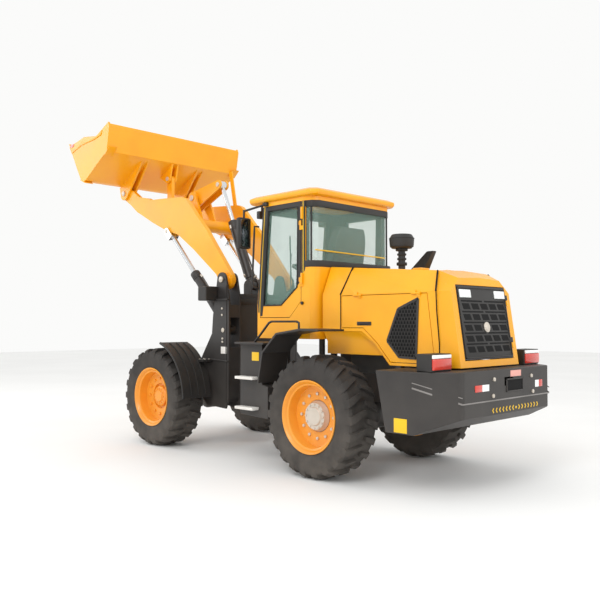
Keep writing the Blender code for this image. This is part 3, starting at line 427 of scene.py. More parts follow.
eased = {
    "yellowEnamel": (("hood", 0.006), ("cab_shell", 0.005), ("cab_roof", 0.012), ("cab_door", 0.004),
                     ("boom", 0.004), ("bell_crank", 0.003), ("bucket_link", 0.003),
                     ("side_door_left", 0.002), ("side_door_right", 0.002)),
    "chassisBlack": (("rear_frame", 0.004), ("rear_axle", 0.004), ("front_frame", 0.004),
                     ("front_axle", 0.004),
                     ("rear_fender_left", 0.003), ("rear_fender_right", 0.003),
                     ("lift_barrel_left", 0.003), ("lift_barrel_right", 0.003), ("tilt_barrel", 0.003),
                     ("steer_barrel_left", 0.002), ("steer_barrel_right", 0.002),
                     ("rear_grille_door", 0.003)),
    "castBlack": (("counterweight", 0.012), ("step_tank_left", 0.008), ("step_tank_right", 0.008)),
    "castSteel": (("engine", 0.01),),
    "hardChrome": (("lift_rod_left", 0.002), ("lift_rod_right", 0.002), ("tilt_rod", 0.002),
                   ("steer_rod_left", 0.002), ("steer_rod_right", 0.002)),
    "mouldedBlack": (("mirror_left", 0.006), ("mirror_right", 0.006), ("steering_column", 0.004),
                     ("headlight_left", 0.012), ("headlight_right", 0.012), ("tail_lamp_left", 0.008),
                     ("tail_lamp_right", 0.008), ("air_cleaner", 0.004), ("exhaust_stack", 0.006)),
    "tintedGlass": (("windscreen", 0.0), ("right_glass", 0.0), ("rear_glass", 0.0), ("door_glass", 0.0)),
}
for finish, rows in eased.items():
    for node, ease in rows:
        finishPiece([nodeCopy(node, ease)], node + "_skin", finish, bodyOf(node), [node])
# the cab's lining and window reveals are trim, not enamel
lining = {"floor": 1.37, "middle": at(0, 0.6, 2.1), "reveal": (0.59, 0.649), "windows": (1.66, 2.76)}
for node in ("cab_shell", "cab_door"):
    skin = bpy.data.objects[node + "_skin"]
    skin.data.materials.append(finishes["mouldedBlack"])
    for face in skin.data.polygons:
        inward = face.normal.dot(lining["middle"] - face.center) > 0
        reveal = (abs(face.normal.x) < 0.3 and lining["reveal"][0] < abs(face.center.x) < lining["reveal"][1]
                  and lining["windows"][0] < face.center.z < lining["windows"][1])
        if face.center.z > lining["floor"] and (inward or reveal):
            face.material_index = 1
print("eased pieces done")

# tyres and rims

wheelLook = {"lugs": 22, "crown": 0.556, "lugTop": 0.590, "hubBolts": 12, "rimSteps": 64,
             "axle": 1.35, "track": 0.82, "height": 0.5875}
hubLook = {"front": {"out": 0.075, "wide": 0.125, "finish": "rimEnamel"},
           "rear": {"out": 0.105, "wide": 0.150, "finish": "zincCoat"}}


def lugPiece(centre, sign, turn):
    # one bar, bent from the crown over the shoulder, its inner end trailing
    deselect()
    bpy.ops.mesh.primitive_cube_add(size=1)
    piece = bpy.context.object
    bpy.ops.object.mode_set(mode="EDIT")
    bpy.ops.mesh.select_all(action="SELECT")
    bpy.ops.mesh.subdivide(number_cuts=3)
    bpy.ops.object.mode_set(mode="OBJECT")
    stations = ((0.008, 0.5, 0.0), (0.075, 0.62, 0.03), (0.145, 0.78, 0.075), (0.190, 0.95, 0.10),
                (0.2005, 1.0, 0.105))  # across the tyre: x, width, trail
    tops = (wheelLook["lugTop"], wheelLook["lugTop"], wheelLook["lugTop"] - 0.004, 0.560, 0.505)
    roots = (0.54, 0.54, 0.535, 0.51, 0.48)
    for vertex in piece.data.vertices:
        step = int(round((vertex.co.x + 0.5) * 4))
        across, widen, trail = stations[step]
        depth = vertex.co.z + 0.5
        radius = roots[step] + (tops[step] - roots[step]) * depth
        spread = vertex.co.y * 0.088 * widen * (1.15 - 0.3 * depth)
        angle = turn + trail * 1.2 + spread / 0.56
        vertex.co = (sign * across, radius * math.sin(angle), radius * math.cos(angle))
    piece.location = centre
    applyPlace(piece)
    return piece


for end, place in (("front", -wheelLook["axle"]), ("rear", wheelLook["axle"])):
    for name, side in sides:
        centre = at(side * wheelLook["track"], place, wheelLook["height"])
        crown = wheelLook["crown"]
        profile = [(-0.172, 0.335), (-0.180, 0.362), (-0.188, 0.372), (-0.1975, 0.42), (-0.2005, 0.46),
                   (-0.199, 0.50), (-0.188, 0.535), (-0.165, 0.552), (-0.10, crown), (0.0, crown + 0.004),
                   (0.10, crown), (0.165, 0.552), (0.188, 0.535), (0.199, 0.50), (0.2005, 0.46),
                   (0.1975, 0.42), (0.188, 0.372), (0.180, 0.362), (0.172, 0.335), (0.172, 0.3305),
                   (-0.172, 0.3305)]
        parts = [spunPiece(profile, centre, 72)]
        pitch = math.tau / wheelLook["lugs"]
        for i in range(wheelLook["lugs"]):
            parts.append(lugPiece(centre, 1, i * pitch))
            parts.append(lugPiece(centre, -1, (i + 0.5) * pitch))
        finishPiece(parts, f"{end}_tyre_{name}_tread", "treadRubber", f"{end}_wheel_{name}",
                    [f"{end}_tyre_{name}"], 28)
        rim = [(0.189, 0.353), (0.189, 0.343), (0.178, 0.330), (0.158, 0.318), (0.150, 0.302),
               (0.135, 0.296),
               (0.050, 0.288), (0.045, 0.270), (0.040, 0.190), (0.040, 0.155), (0.0155, 0.150),
               (0.0150, 0.0),
               (0.0150, 0.0001), (0.0150, 0.190), (0.0030, 0.200), (0.0030, 0.302), (-0.185, 0.315),
               (-0.185, 0.353), (-0.1703, 0.353), (-0.1703, 0.3297), (0.1703, 0.3297), (0.1703, 0.353)]
        ring = spunPiece([(side * x, r) for x, r in rim], centre, wheelLook["rimSteps"])
        finishPiece([ring], f"{end}_rim_{name}_dish", "rimEnamel", f"{end}_wheel_{name}",
                    [f"{end}_rim_{name}"], 30)
        out, wide = hubLook[end]["out"], hubLook[end]["wide"]
        hub = [(0.0152, 0.0), (0.0152, wide), (0.045, wide), (0.055, wide - 0.008),
               (out - 0.015, wide - 0.022),
               (out - 0.012, wide * 0.62), (out, wide * 0.56), (out + 0.004, wide * 0.2), (out + 0.004, 0.0)]
        cover = [spunPiece([(side * x, r) for x, r in hub], centre, 48)]
        for i in range(wheelLook["hubBolts"]):
            angle = math.tau * i / wheelLook["hubBolts"]
            spoke = Vector((0, math.cos(angle), math.sin(angle)))
            inner = centre + spoke * (wide - 0.036) + Vector((side * (out - 0.014), 0, 0))
            outer = centre + spoke * 0.215 + Vector((side * 0.041, 0, 0))
            cover.append(boltPiece(inner, (side, 0, 0), 0.010, 0.010))
            cover.append(boltPiece(outer, (side, 0, 0), 0.016, 0.018))
        finishPiece(cover, f"{end}_hub_{name}", hubLook[end]["finish"], f"{end}_wheel_{name}")
print("wheels done")

# details: helpers

def ribbon(points, normal, width, thick=0.0015):
    # a flat strip of that width along the points, standing that far out of the surface
    normal = Vector(normal).normalized()
    points = [Vector(p) - normal * 0.001 for p in points]
    near, far = [], []
    for i, point in enumerate(points):
        way = points[min(i + 1, len(points) - 1)] - points[max(i - 1, 0)]
        offset = way.cross(normal).normalized() * width / 2
        near.append(point + offset)
        far.append(point - offset)
    return platePiece(near + far[::-1], normal * (thick + 0.001))


def trimPiece(piece, corners, normal):
    # keeps what lies inside a flat convex outline
    makeActive(piece)
    bpy.ops.object.mode_set(mode="EDIT")
    middle = sum(corners, Vector()) / len(corners)
    for i, corner in enumerate(corners):
        away = (corners[(i + 1) % len(corners)] - corner).cross(Vector(normal))
        away = away if away.dot(corner - middle) > 0 else -away
        bpy.ops.mesh.select_all(action="SELECT")
        bpy.ops.mesh.bisect(plane_co=corner, plane_no=away.normalized(), clear_outer=True, use_fill=True)
    bpy.ops.object.mode_set(mode="OBJECT")
    return piece


def arrayPiece(piece, count, step):
    return addModifier(piece, "ARRAY", count=count, use_relative_offset=False, use_constant_offset=True,
                       constant_offset_displace=step)


def arcPoints(centre, radius, start, end, count):
    turns = [math.radians(start + (end - start) * i / count) for i in range(count + 1)]
    return [(centre[0] + radius * math.cos(a), centre[1] + radius * math.sin(a)) for a in turns]


def gaitered(points, finish, name, body, radius=0.011):
    # a crimped hose with a zinc ferrule at each end
    finishPiece([tubePiece(points, radius)], name, finish, body, smooth=60)
    ends = []
    for here, there in ((points[0], points[1]), (points[-1], points[-2])):
        way = (Vector(there) - Vector(here)).normalized()
        ends.append(rodPiece(Vector(here) - way * 0.004, Vector(here) + way * 0.045, radius * 1.35, 12,
                             0.002))
    finishPiece(ends, name + "_ferrules", "zincCoat", body)


# bucket: cutting edge, bent side edges and wear strips

finishPiece([nodeCopy("bucket", 0.003)], "bucket_skin", "yellowEnamel", "bucket", ["bucket"])
edges = [sidePlate([(-3.345, 4.025), (-3.300, 3.962), (-3.228, 3.848), (-3.216, 3.856), (-3.288, 3.972),
                    (-3.326, 4.022)], -1.096, 1.096, 0.003)]
for name, side in sides:
    cheek = [(-3.300, 3.965), (-3.235, 3.870), (-2.960, 3.940), (-2.620, 3.955), (-2.430, 3.985),
             (-2.400, 4.050),
             (-2.566, 3.990), (-2.897, 4.036)]
    edges.append(sidePlate(cheek, *mirrored(side, 1.099, 1.108), 0.002))
    for low, high in (((-2.985, 3.455), (-2.865, 3.405)), ((-2.330, 3.700), (-2.225, 3.790))):
        strip = [low, high, (high[0] + 0.010, high[1] + 0.012), (low[0] - 0.004, low[1] + 0.014)]
        edges.append(sidePlate(strip, *mirrored(side, 0.98, 1.104), 0.002))
finishPiece(edges, "bucket_edges", "yellowEnamel", "bucket")
marks = [sideBox(side, (1.1075, 1.1105), (-3.275, -3.175), (3.955, 3.995), 0.001) for name, side in sides]
finishPiece(marks, "bucket_marks", "lensRed", "bucket")
bucketPins = {"boom": (-2.80, 3.32), "link": (-2.411, 3.542)}
heads = []
for name, side in sides:
    for x in (0.398, 0.532):
        heads.append(crossPin(side, (x - 0.014, x + 0.014), bucketPins["boom"], 0.036, 24, 0.004))
    heads.append(crossPin(side, (0.062 - 0.01, 0.062 + 0.012), bucketPins["link"], 0.030))
finishPiece(heads, "bucket_pins", "zincCoat", "bucket")

# boom: cylinder and crank pins, weld seams round the pivot and bucket pins

boomPins = {"cylinder": (-1.747, 2.69), "crank": (-1.74, 3.176), "pivot": (-0.535, 2.003),
            "crankEnds": ((-1.238, 3.30), (-2.402, 2.802))}
heads = []
for name, side in sides:
    heads.append(crossPin(side, (0.42, 0.534), boomPins["cylinder"], 0.026))
    heads.append(crossPin(side, (0.12, 0.134), boomPins["crank"], 0.040, 24, 0.004))
finishPiece(heads, "boom_pins", "zincCoat", "boom")
heads = [crossPin(side, (0.069, 0.083), place, 0.030) for name,
         side in sides for place in boomPins["crankEnds"]]
finishPiece(heads, "crank_pins", "zincCoat", "crank")
welds = []
for name, side in sides:
    for x in (0.4355, 0.4945):
        for place, radius in ((boomPins["pivot"], 0.078), (bucketPins["boom"], 0.068)):
            seam = [at(side * x, y, z) for y, z in arcPoints(place, radius, 0, 350, 24)]
            welds.append(tubePiece(seam, 0.004, 6, False))
finishPiece(welds, "boom_welds", "yellowEnamel", "boom", smooth=60)

# tower: pin heads, bolts, blank plate

pins, plates = [], []
for name, side in sides:
    pins.append(crossPin(side, (0.558, 0.576), (-0.535, 2.002), 0.036, 28, 0.004))
    pins.append(sideBox(side, (0.572, 0.582), (-0.553, -0.485), (1.994, 2.012), 0.003))
    pins.append(boltPiece(at(side * 0.580, -0.497, 2.003), (side, 0, 0), 0.010, 0.006))
    for y, z, radius in ((-0.517, 1.657, 0.014), (-0.517, 1.58, 0.014), (-0.50, 1.40, 0.030),
                         (-0.507, 1.300, 0.014), (-0.507, 1.262, 0.014)):
        pins.append(boltPiece(at(side * 0.560, y, z), (side, 0, 0), radius, 0.010))
    plates.append(sideBox(side, (0.5595, 0.5615), (-0.54, -0.43), (1.123, 1.205), 0.0008))
finishPiece(pins, "tower_pins", "zincCoat", "front")
finishPiece(plates, "tower_plates", "plateWhite", "front")
ribs = []
shelves = (([(-0.76, 1.775), (-0.40, 1.775), (-0.40, 1.755), (-0.76, 1.755)], 0.585),
           ([(-0.92, 1.065), (-0.40, 1.045), (-0.40, 1.030), (-0.92, 1.050)], 0.580))
for name, side in sides:
    spine = [at(side * 0.56, -0.44, z) for z in (0.56, 0.98, 1.45, 1.93)]
    ribs.append(ribbon(spine, (side, 0, 0), 0.014, 0.006))
    for outline, reach in shelves:
        ribs.append(sidePlate(outline, *mirrored(side, 0.545, reach), 0.003))
ribs.append(boxPiece(at(-0.375, -0.515, 1.690), at(0.375, -0.485, 1.785), 0.003))
finishPiece(ribs, "tower_ribs", "chassisBlack", "front")

# front fenders: rolled outer rim and three ribs along the wheel's turn

fender = {"hub": (-1.35, 0.5875), "ribs": (0.70, 0.80, 0.90), "ribHalf": 0.011, "ribTop": 0.711,
          "ribFoot": 0.697, "rim": 0.690}
for name, side in sides:
    parts = [nodeCopy("front_fender_" + name, 0.004)]
    for x in fender["ribs"]:
        strip = arcPoints(fender["hub"], fender["ribTop"], 5, 69, 18)
        strip += arcPoints(fender["hub"], fender["ribFoot"], 69, 5, 18)
        across = mirrored(side, x - fender["ribHalf"], x + fender["ribHalf"])
        parts.append(sidePlate(strip, *across, 0.003))
    rim = [at(side * 1.012, y, z) for y, z in arcPoints(fender["hub"], fender["rim"], 2, 72, 20)]
    parts.append(tubePiece(rim, 0.015, 10, False))
    finishPiece(parts, f"front_fender_{name}_skin", "mouldedBlack", "front", ["front_fender_" + name])
    bolts = [boltPiece(at(side * x, y, 1.05), (0, 0, 1)) for x in (0.60, 0.66) for y in (-0.82, -0.72)]
    finishPiece(bolts, f"front_fender_{name}_bolts", "zincCoat", "front")

# headlights and tail lamps

lampWidth = {"head": (0.578, 0.722), "tail": (0.642, 0.915)}
for name, side in sides:
    head = sideBox(side, lampWidth["head"], (-0.769, -0.757), (1.770, 1.902), 0.004)
    red = sideBox(side, lampWidth["tail"], (2.712, 2.726), (1.090, 1.184), 0.005)
    band = sideBox(side, lampWidth["tail"], (2.712, 2.725), (1.187, 1.217), 0.004)
    finishPiece([head], f"headlight_{name}_lens", "lensClear", "front")
    finishPiece([band], f"tail_lamp_{name}_band", "lensClear", "rear")
    finishPiece([red], f"tail_lamp_{name}_lens", "lensRed", "rear")

# hood: door seams, vents, handles, top bumps


hood = {"side": 0.56, "front": 1.125, "length": 1.32, "top": 2.065, "fall": 0.100}


def hoodTop(y):
    return hood["top"] - hood["fall"] * (y - hood["front"]) / hood["length"]


# the door seams are near-black strips: painted shade in the panel gaps
seams = []
for side in (1, -1):
    facet, wall, crown = (side, 0, 0.44), (side, 0, 0), (0, 0.07, 1)
    edge = side * hood["side"]
    waist, top = 1.374, 1.430
    seams.append(ribbon([at(edge, 1.374, 1.406), at(edge, waist, 1.77)], wall, 0.012))
    seams.append(ribbon([at(edge, waist, 1.765), at(side * 0.432, top, hoodTop(top))], facet, 0.014, 0.010))
    seams.append(ribbon([at(side * 0.43, top, hoodTop(top)), at(0, top, hoodTop(top) + 0.015)], crown,
                        0.012, 0.006))
    down = [at(edge, y, z) for y, z in ((2.512, 1.772), (2.518, 1.60), (2.545, 1.30), (2.548, 1.12))]
    seams.append(ribbon(down, wall, 0.010))
    seams.append(ribbon([at(edge, 2.512, 1.768), at(side * 0.424, 2.44, 1.962)], facet, 0.012, 0.010))
    seams.append(ribbon([at(side * 0.43, 1.62, hoodTop(1.62)), at(side * 0.30, 1.62, hoodTop(1.62) + 0.004)],
                        crown, 0.008, 0.003))
finishPiece(seams, "hood_seams", "paintedShadeBlack", "rear")
bumps = []
for x in (-0.22, 0.22):
    bumps.append(boxPiece(at(x - 0.07, 2.055, 1.985), at(x + 0.07, 2.16, 2.012), 0.008))
finishPiece(bumps, "hood_bumps", "yellowEnamel", "rear")
vent = {"outline": ((2.32, 1.708), (2.093, 1.616), (1.966, 1.317), (2.102, 1.171), (2.295, 1.164)),
        "pitch": 0.034, "bar": 0.010, "low": (1.96, 1.16), "high": (2.33, 1.72)}
pitch, bar = vent["pitch"], vent["bar"]
for name, side in sides:
    corners = [at(side * 0.5635, y, z) for y, z in vent["outline"]]
    # a near-black plate behind the mesh: painted shade
    back = [sidePlate(vent["outline"], *mirrored(side, 0.5585, 0.5615))]
    finishPiece(back, f"side_vent_{name}_back", "paintedShadeBlack", f"side_door_{name}")
    low, high = at(0, *vent["low"]), at(0, *vent["high"])
    inner, outer = mirrored(side, 0.5595, 0.5655)
    level = boxPiece((inner, low.y, low.z), (outer, high.y, low.z + bar))
    level = arrayPiece(level, 17, (0, 0, pitch))
    upright = boxPiece((inner, low.y, low.z), (outer, low.y + bar, low.z + pitch))
    upright = arrayPiece(upright, 12, (0, pitch, 0))
    shifted = boxPiece((inner, low.y + pitch / 2, low.z + pitch),
                       (outer, low.y + pitch / 2 + bar, low.z + 2 * pitch))
    shifted = arrayPiece(shifted, 11, (0, pitch, 0))
    rows = arrayPiece(joinPieces([upright, shifted]), 9, (0, 0, 2 * pitch))
    mesh = trimPiece(joinPieces([level, rows]), corners, (1, 0, 0))
    frameBars = [ribbon([corner, corners[(i + 1) % 5]], (side, 0, 0), 0.022, 0.004)
                 for i, corner in enumerate(corners)]
    finishPiece([mesh], f"side_vent_{name}_mesh", "mouldedBlack", f"side_door_{name}", smooth=20)
    finishPiece(frameBars, f"side_vent_{name}_frame", "castBlack", f"side_door_{name}", smooth=20)
    handle = boxPiece(at(inner - 0.001 * side, 1.591, 1.462), at(outer + 0.001 * side, 1.769, 1.498), 0.0025)
    grip = sideBox(side, (0.564, 0.574), (1.622, 1.738), (1.473, 1.487), 0.003)
    finishPiece([handle, grip], f"side_door_{name}_handle", "mouldedBlack", f"side_door_{name}")
print("hood done")

# rear door: slotted panel, two lamps in its top corners, plain boss

rearDoor = {"fall": 0.148, "y": 2.722, "foot": 1.129, "middle": 1.49}  # how its face leans and where it sits


def onDoor(piece):
    drop = rearDoor["fall"] * (rearDoor["middle"] - rearDoor["foot"])
    piece.rotation_euler = (math.atan(rearDoor["fall"]), 0, 0)
    piece.location = at(0, rearDoor["y"] - drop, rearDoor["middle"])
    applyPlace(piece)
    return piece


frameParts = [boxPiece((-0.405, -0.002, -0.325), (0.405, 0.004, 0.325), 0.002)]
for low, high in (((-0.405, -0.002, 0.312), (0.405, 0.010, 0.325)),
                  ((-0.405, -0.002, -0.325), (0.405, 0.010, -0.312)),
                  ((-0.405, -0.002, -0.325), (-0.392, 0.010, 0.325)),
                  ((0.392, -0.002, -0.325), (0.405, 0.010, 0.325))):
    frameParts.append(boxPiece(low, high, 0.003))
finishPiece([onDoor(p) for p in frameParts], "rear_door_panel", "mouldedBlack", "rear_door")
# the slots are near-black strips on the panel: painted shade in its openings
slots = []
for row in range(5):
    z = -0.245 + row * 0.098
    thick = platePiece([(-0.375, 0.003, z - 0.027), (-0.262, 0.003, z - 0.027), (-0.240, 0.003, z + 0.027),
                        (-0.353, 0.003, z + 0.027)], (0, 0.0025, 0))
    slots.append(arrayPiece(thick, 5, (0.150, 0, 0)))
    thin = boxPiece((-0.370, 0.003, z + 0.042), (-0.020, 0.0055, z + 0.056))
    slots.append(arrayPiece(thin, 2, (0.388, 0, 0)))
finishPiece([onDoor(p) for p in slots], "rear_door_slots", "paintedShadeBlack", "rear_door")
lamps = [boxPiece((side * 0.205, 0.002, 0.226), (side * 0.385, 0.016, 0.300), 0.006) for name, side in sides]
finishPiece([onDoor(p) for p in lamps], "rear_door_lamps", "lensClear", "rear_door")
boss = [rodPiece((0, 0.003, -0.045), (0, 0.016, -0.045), 0.048, 36, 0.004),
        rodPiece((0, 0.014, -0.045), (0, 0.020, -0.045), 0.032, 36, 0.003)]
finishPiece([onDoor(p) for p in boss], "rear_door_boss", "zincCoat", "rear_door")

# counterweight: ribs, hitch recess, reflectors, blank plates, chevrons

back = 2.905
ribs = [boxPiece(at(-0.757, back - 0.002, 0.804), at(0.757, back + 0.003, 0.816), 0.001)]
for side in (1, -1):
    corner = (side * 0.809, 0.587, 0)
    ribs.append(ribbon([at(side * 0.757, back, 0.810), at(side * 1.0, 2.57, 0.942)], corner, 0.014, 0.003))
    ribs.append(ribbon([at(side * 0.757, back, 0.862), at(side * 1.0, 2.57, 0.985)], corner, 0.008, 0.003))
ribs += [boxPiece(at(-0.245, back - 0.002, 0.868), at(0.055, back + 0.008, 0.880), 0.003),
         boxPiece(at(-0.245, back - 0.002, 0.976), at(0.055, back + 0.008, 0.988), 0.003),
         boxPiece(at(-0.245, back - 0.002, 0.868), at(-0.233, back + 0.008, 0.988), 0.003),
         boxPiece(at(0.043, back - 0.002, 0.868), at(0.055, back + 0.008, 0.988), 0.003)]
# the crease ribs are light grey: a painted highlight along the counterweight's crease
finishPiece(ribs[:5], "counterweight_ribs", "paintedHighlightGrey", "rear")
finishPiece(ribs[5:], "hitch_frame", "castBlack", "rear")
# a near-black sheet in the hitch frame: painted shade in the recess
recess = boxPiece(at(-0.235, back - 0.001, 0.878), at(0.045, back + 0.0015, 0.978))
finishPiece([recess], "hitch_recess", "paintedShadeBlack", "rear")
bolts = [boltPiece(at(x, back, z), (0, 1, 0), 0.019, 0.012)
         for x, z in ((0.262, 0.993), (0.281, 0.851), (-0.400, 0.994), (-0.426, 0.847))]
finishPiece(bolts, "counterweight_bolts", "zincCoat", "rear")
reflectors = (("lensRed", (0.457, 0.568), (0.898, 0.955)), ("lensClear", (0.346, 0.455), (0.898, 0.955)),
              ("lensRed", (-0.614, -0.547), (0.883, 0.948)), ("lensClear", (-0.545, -0.477), (0.883, 0.948)))
for i, (finish, (x0, x1), (z0, z1)) in enumerate(reflectors):
    reflector = boxPiece(at(x0, back - 0.001, z0), at(x1, back + 0.004, z1), 0.001)
    finishPiece([reflector], f"reflector_{i}", finish, "rear")
plate = boxPiece(at(-0.212, back - 0.001, 1.003), at(-0.023, back + 0.002, 1.058), 0.0008)
finishPiece([plate], "rear_plate", "platePink", "rear")
chevronLook = {"count": 7, "middle": -0.1165, "first": 0.045, "pitch": 0.057, "reach": 0.017}
chevrons = []
for way in (1, -1):
    for i in range(chevronLook["count"]):
        x = chevronLook["middle"] + way * (chevronLook["first"] + i * chevronLook["pitch"])
        bend = [at(x, back, 0.702), at(x + way * chevronLook["reach"], back, 0.722), at(x, back, 0.742)]
        chevrons.append(ribbon(bend, (0, 1, 0), 0.013))
chevrons.append(boxPiece(at(-0.128, back - 0.001, 0.712), at(-0.105, back + 0.0015, 0.732), 0.0005))
chevrons += [sideBox(side, (0.999, 1.0025), (2.381, 2.518), (0.557, 0.677), 0.0008) for side in (1, -1)]
finishPiece(chevrons, "rear_signals", "signalYellow", "rear")
print("rear done")

# cab: black frame skins, window seals, hinges, rails, work lamp, wiper

for name, side in sides:
    body = "cab_door" if side > 0 else "rear"
    low, high = mirrored(side, 0.6495, 0.6525)
    foot = [(0.268, 1.56), (0.300, 1.56), (0.320, 1.70), (0.396, 2.70), (0.396, 2.752), (0.348, 2.752),
            (0.268, 1.70)]
    dark = [sidePlate(foot, low, high, 0.0008),
            sidePlate([(0.396, 2.695), (0.853, 2.695), (0.853, 2.752), (0.396, 2.752)], low, high),
            sidePlate([(0.853, 1.88), (0.899, 1.92), (0.899, 2.752), (0.853, 2.752)], low, high)]
    finishPiece(dark, f"cab_frame_{name}", "mouldedBlack", body)
    seal = [(0.315, 1.675), (0.60, 1.675), (0.845, 1.86), (0.855, 2.70), (0.395, 2.70), (0.315, 1.675)]
    if side < 0:
        seal = [(0.32, 1.76), (0.86, 2.02), (0.875, 2.70), (0.395, 2.70), (0.32, 1.76)]
    seal = tubePiece([at(side * 0.650, y, z) for y, z in seal], 0.009, 8, False)
    finishPiece([seal], f"window_seal_{name}", "hoseRubber", body)
    pillars = [sidePlate([(0.909, 1.96), (0.963, 2.04), (0.963, 2.752), (0.909, 2.752)], low, high),
               sidePlate([(0.235, 1.60), (0.258, 1.60), (0.258, 1.70), (0.338, 2.752), (0.310, 2.752),
                          (0.228, 1.70)], low, high)]
    finishPiece(pillars, f"cab_pillars_{name}", "mouldedBlack", "rear")
    face = side * 0.6525
    frontLine = [at(face, 0.262, 1.60), at(face, 0.262, 1.70), at(face, 0.343, 2.752)]
    rearLine = [at(face, 0.936, 1.99), at(face, 0.936, 2.752)]
    lines = [ribbon(frontLine, (side, 0, 0), 0.008), ribbon(rearLine, (side, 0, 0), 0.009)]
    finishPiece(lines, f"cab_lines_{name}", "signalYellow", "rear")
hinges = [boxPiece(at(0.6505, 0.9125, z0), at(0.672, 0.934, z1), 0.004)
          for z0, z1 in ((2.566, 2.691), (1.89, 2.004))]
finishPiece(hinges, "door_hinge_covers", "yellowEnamel", "rear")
lock = rodPiece(at(0.649, 0.925, 1.692), at(0.668, 0.925, 1.692), 0.017, 24, 0.003)
finishPiece([lock], "cab_lock", "mouldedBlack", "rear")
bands = []
rings = (((2.062, 2.130), ((0.653, 0.912), (0.653, 1.031), (0.623, 1.068), (0.552, 1.113)),
          ((0.620, 0.912), (0.620, 1.020), (0.600, 1.040), (0.540, 1.062))),
         ((2.690, 2.756), ((0.653, 0.912), (0.653, 0.932), (0.623, 1.033), (0.552, 1.079)),
          ((0.610, 0.912), (0.610, 0.925), (0.590, 1.000), (0.530, 1.040))))
for (low, high), outer, inner in rings:
    corners = [*outer, *((-x, y) for x, y in outer[::-1]), *((-x, y) for x, y in inner), *inner[::-1]]
    bands.append(platePiece([at(x, y, low) for x, y in corners], (0, 0, high - low), 0.003))
finishPiece(bands, "rear_window_bands", "mouldedBlack", "rear")
posts = []
for side in (1, -1):
    posts.append(tubePiece([at(side * 0.617, 1.018, z) for z in (2.13, 2.44, 2.74)], 0.010, 8, False))
finishPiece(posts, "rear_window_posts", "hoseRubber", "rear")
guard = tubePiece([at(0.60, 1.062, 2.24), at(0.30, 1.082, 2.232), at(-0.50, 1.082, 2.218)], 0.007, 8, False)
finishPiece([guard], "rear_window_bar", "signalYellow", "rear")
wiper = [tubePiece([at(0.02, 0.098, 1.77), at(0.05, 0.118, 2.05), at(0.06, 0.140, 2.30)], 0.006, 8, False),
         tubePiece([at(0.035, 0.112, 2.00), at(0.09, 0.150, 2.50)], 0.008, 8, False)]
finishPiece(wiper, "wiper", "mouldedBlack", "rear")
workLamps = (-0.50, 0.50)
lampParts = []
for x in workLamps:
    lampParts.append(boxPiece(at(x - 0.06, 0.095, 2.66), at(x + 0.06, 0.15, 2.745), 0.008))
    lampParts.append(rodPiece(at(x, 0.12, 2.74), at(x, 0.12, 2.80), 0.012, 12))
finishPiece(lampParts, "work_lamps", "mouldedBlack", "rear")
lenses = [boxPiece(at(x - 0.052, 0.089, 2.668), at(x + 0.052, 0.097, 2.737), 0.003) for x in workLamps]
finishPiece(lenses, "work_lamp_lenses", "lensClear", "rear")
grabRails = {1: ((0.66, 0.25, 2.545), (0.715, 0.24, 2.545), (0.715, 0.237, 2.495), (0.715, 0.205, 1.936),
                 (0.715, 0.215, 1.88), (0.648, 0.23, 1.866)),
             -1: ((0.655, 0.36, 2.53), (0.715, 0.263, 2.548), (0.715, 0.237, 2.495), (0.715, 0.205, 1.936),
                  (0.715, 0.235, 1.885), (0.655, 0.33, 1.866))}
fenderRail = ((0.52, 1.285), (0.537, 1.30), (0.739, 1.486), (0.78, 1.50), (1.14, 1.50), (1.176, 1.486),
              (1.176, 1.425))
rails = []
for side, grab in grabRails.items():
    rails.append(tubePiece([at(side * x, y, z) for x, y, z in grab], 0.011, 10, False))
    rails.append(tubePiece([at(side * 0.95, y, z) for y, z in fenderRail], 0.012, 10, False))
finishPiece(rails, "rails", "mouldedBlack", "rear", smooth=60)

# seat: cushion and back as closed crowned forms with piped seams

seat = {"puff": 0.018, "pleat": 0.006, "fill": 0.8, "cushionTilt": -3, "backTilt": 80}


def cushionPiece(low, high, tilt, centre, taper=0.0):
    deselect()
    bpy.ops.mesh.primitive_cube_add(size=1, location=(0, 0, 0))
    piece = bpy.context.object
    piece.scale = [b - a for a, b in zip(low, high)]
    applyPlace(piece)
    makeActive(piece)
    bpy.ops.object.mode_set(mode="EDIT")
    bpy.ops.mesh.select_all(action="SELECT")
    bpy.ops.mesh.subdivide(number_cuts=9)
    bpy.ops.object.mode_set(mode="OBJECT")
    size = [b - a for a, b in zip(low, high)]
    for vertex in piece.data.vertices:
        across, along, up = (vertex.co[k] / size[k] * 2 for k in range(3))
        crown = (1 - across ** 4) * (1 - along ** 4)
        pleat = seat["pleat"] * (1 + math.cos(across * math.pi * 3)) * crown
        vertex.co.z += seat["puff"] * crown * up + (pleat if up > 0.9 else 0)
        vertex.co.x *= 1 - 0.05 * abs(along) ** 3 - taper * max(0.0, along) ** 4
    addModifier(piece, "BEVEL", width=0.014, segments=3, limit_method="ANGLE", angle_limit=math.radians(60))
    piece.rotation_euler = (math.radians(tilt), 0, 0)
    piece.location = centre
    applyPlace(piece)
    return piece


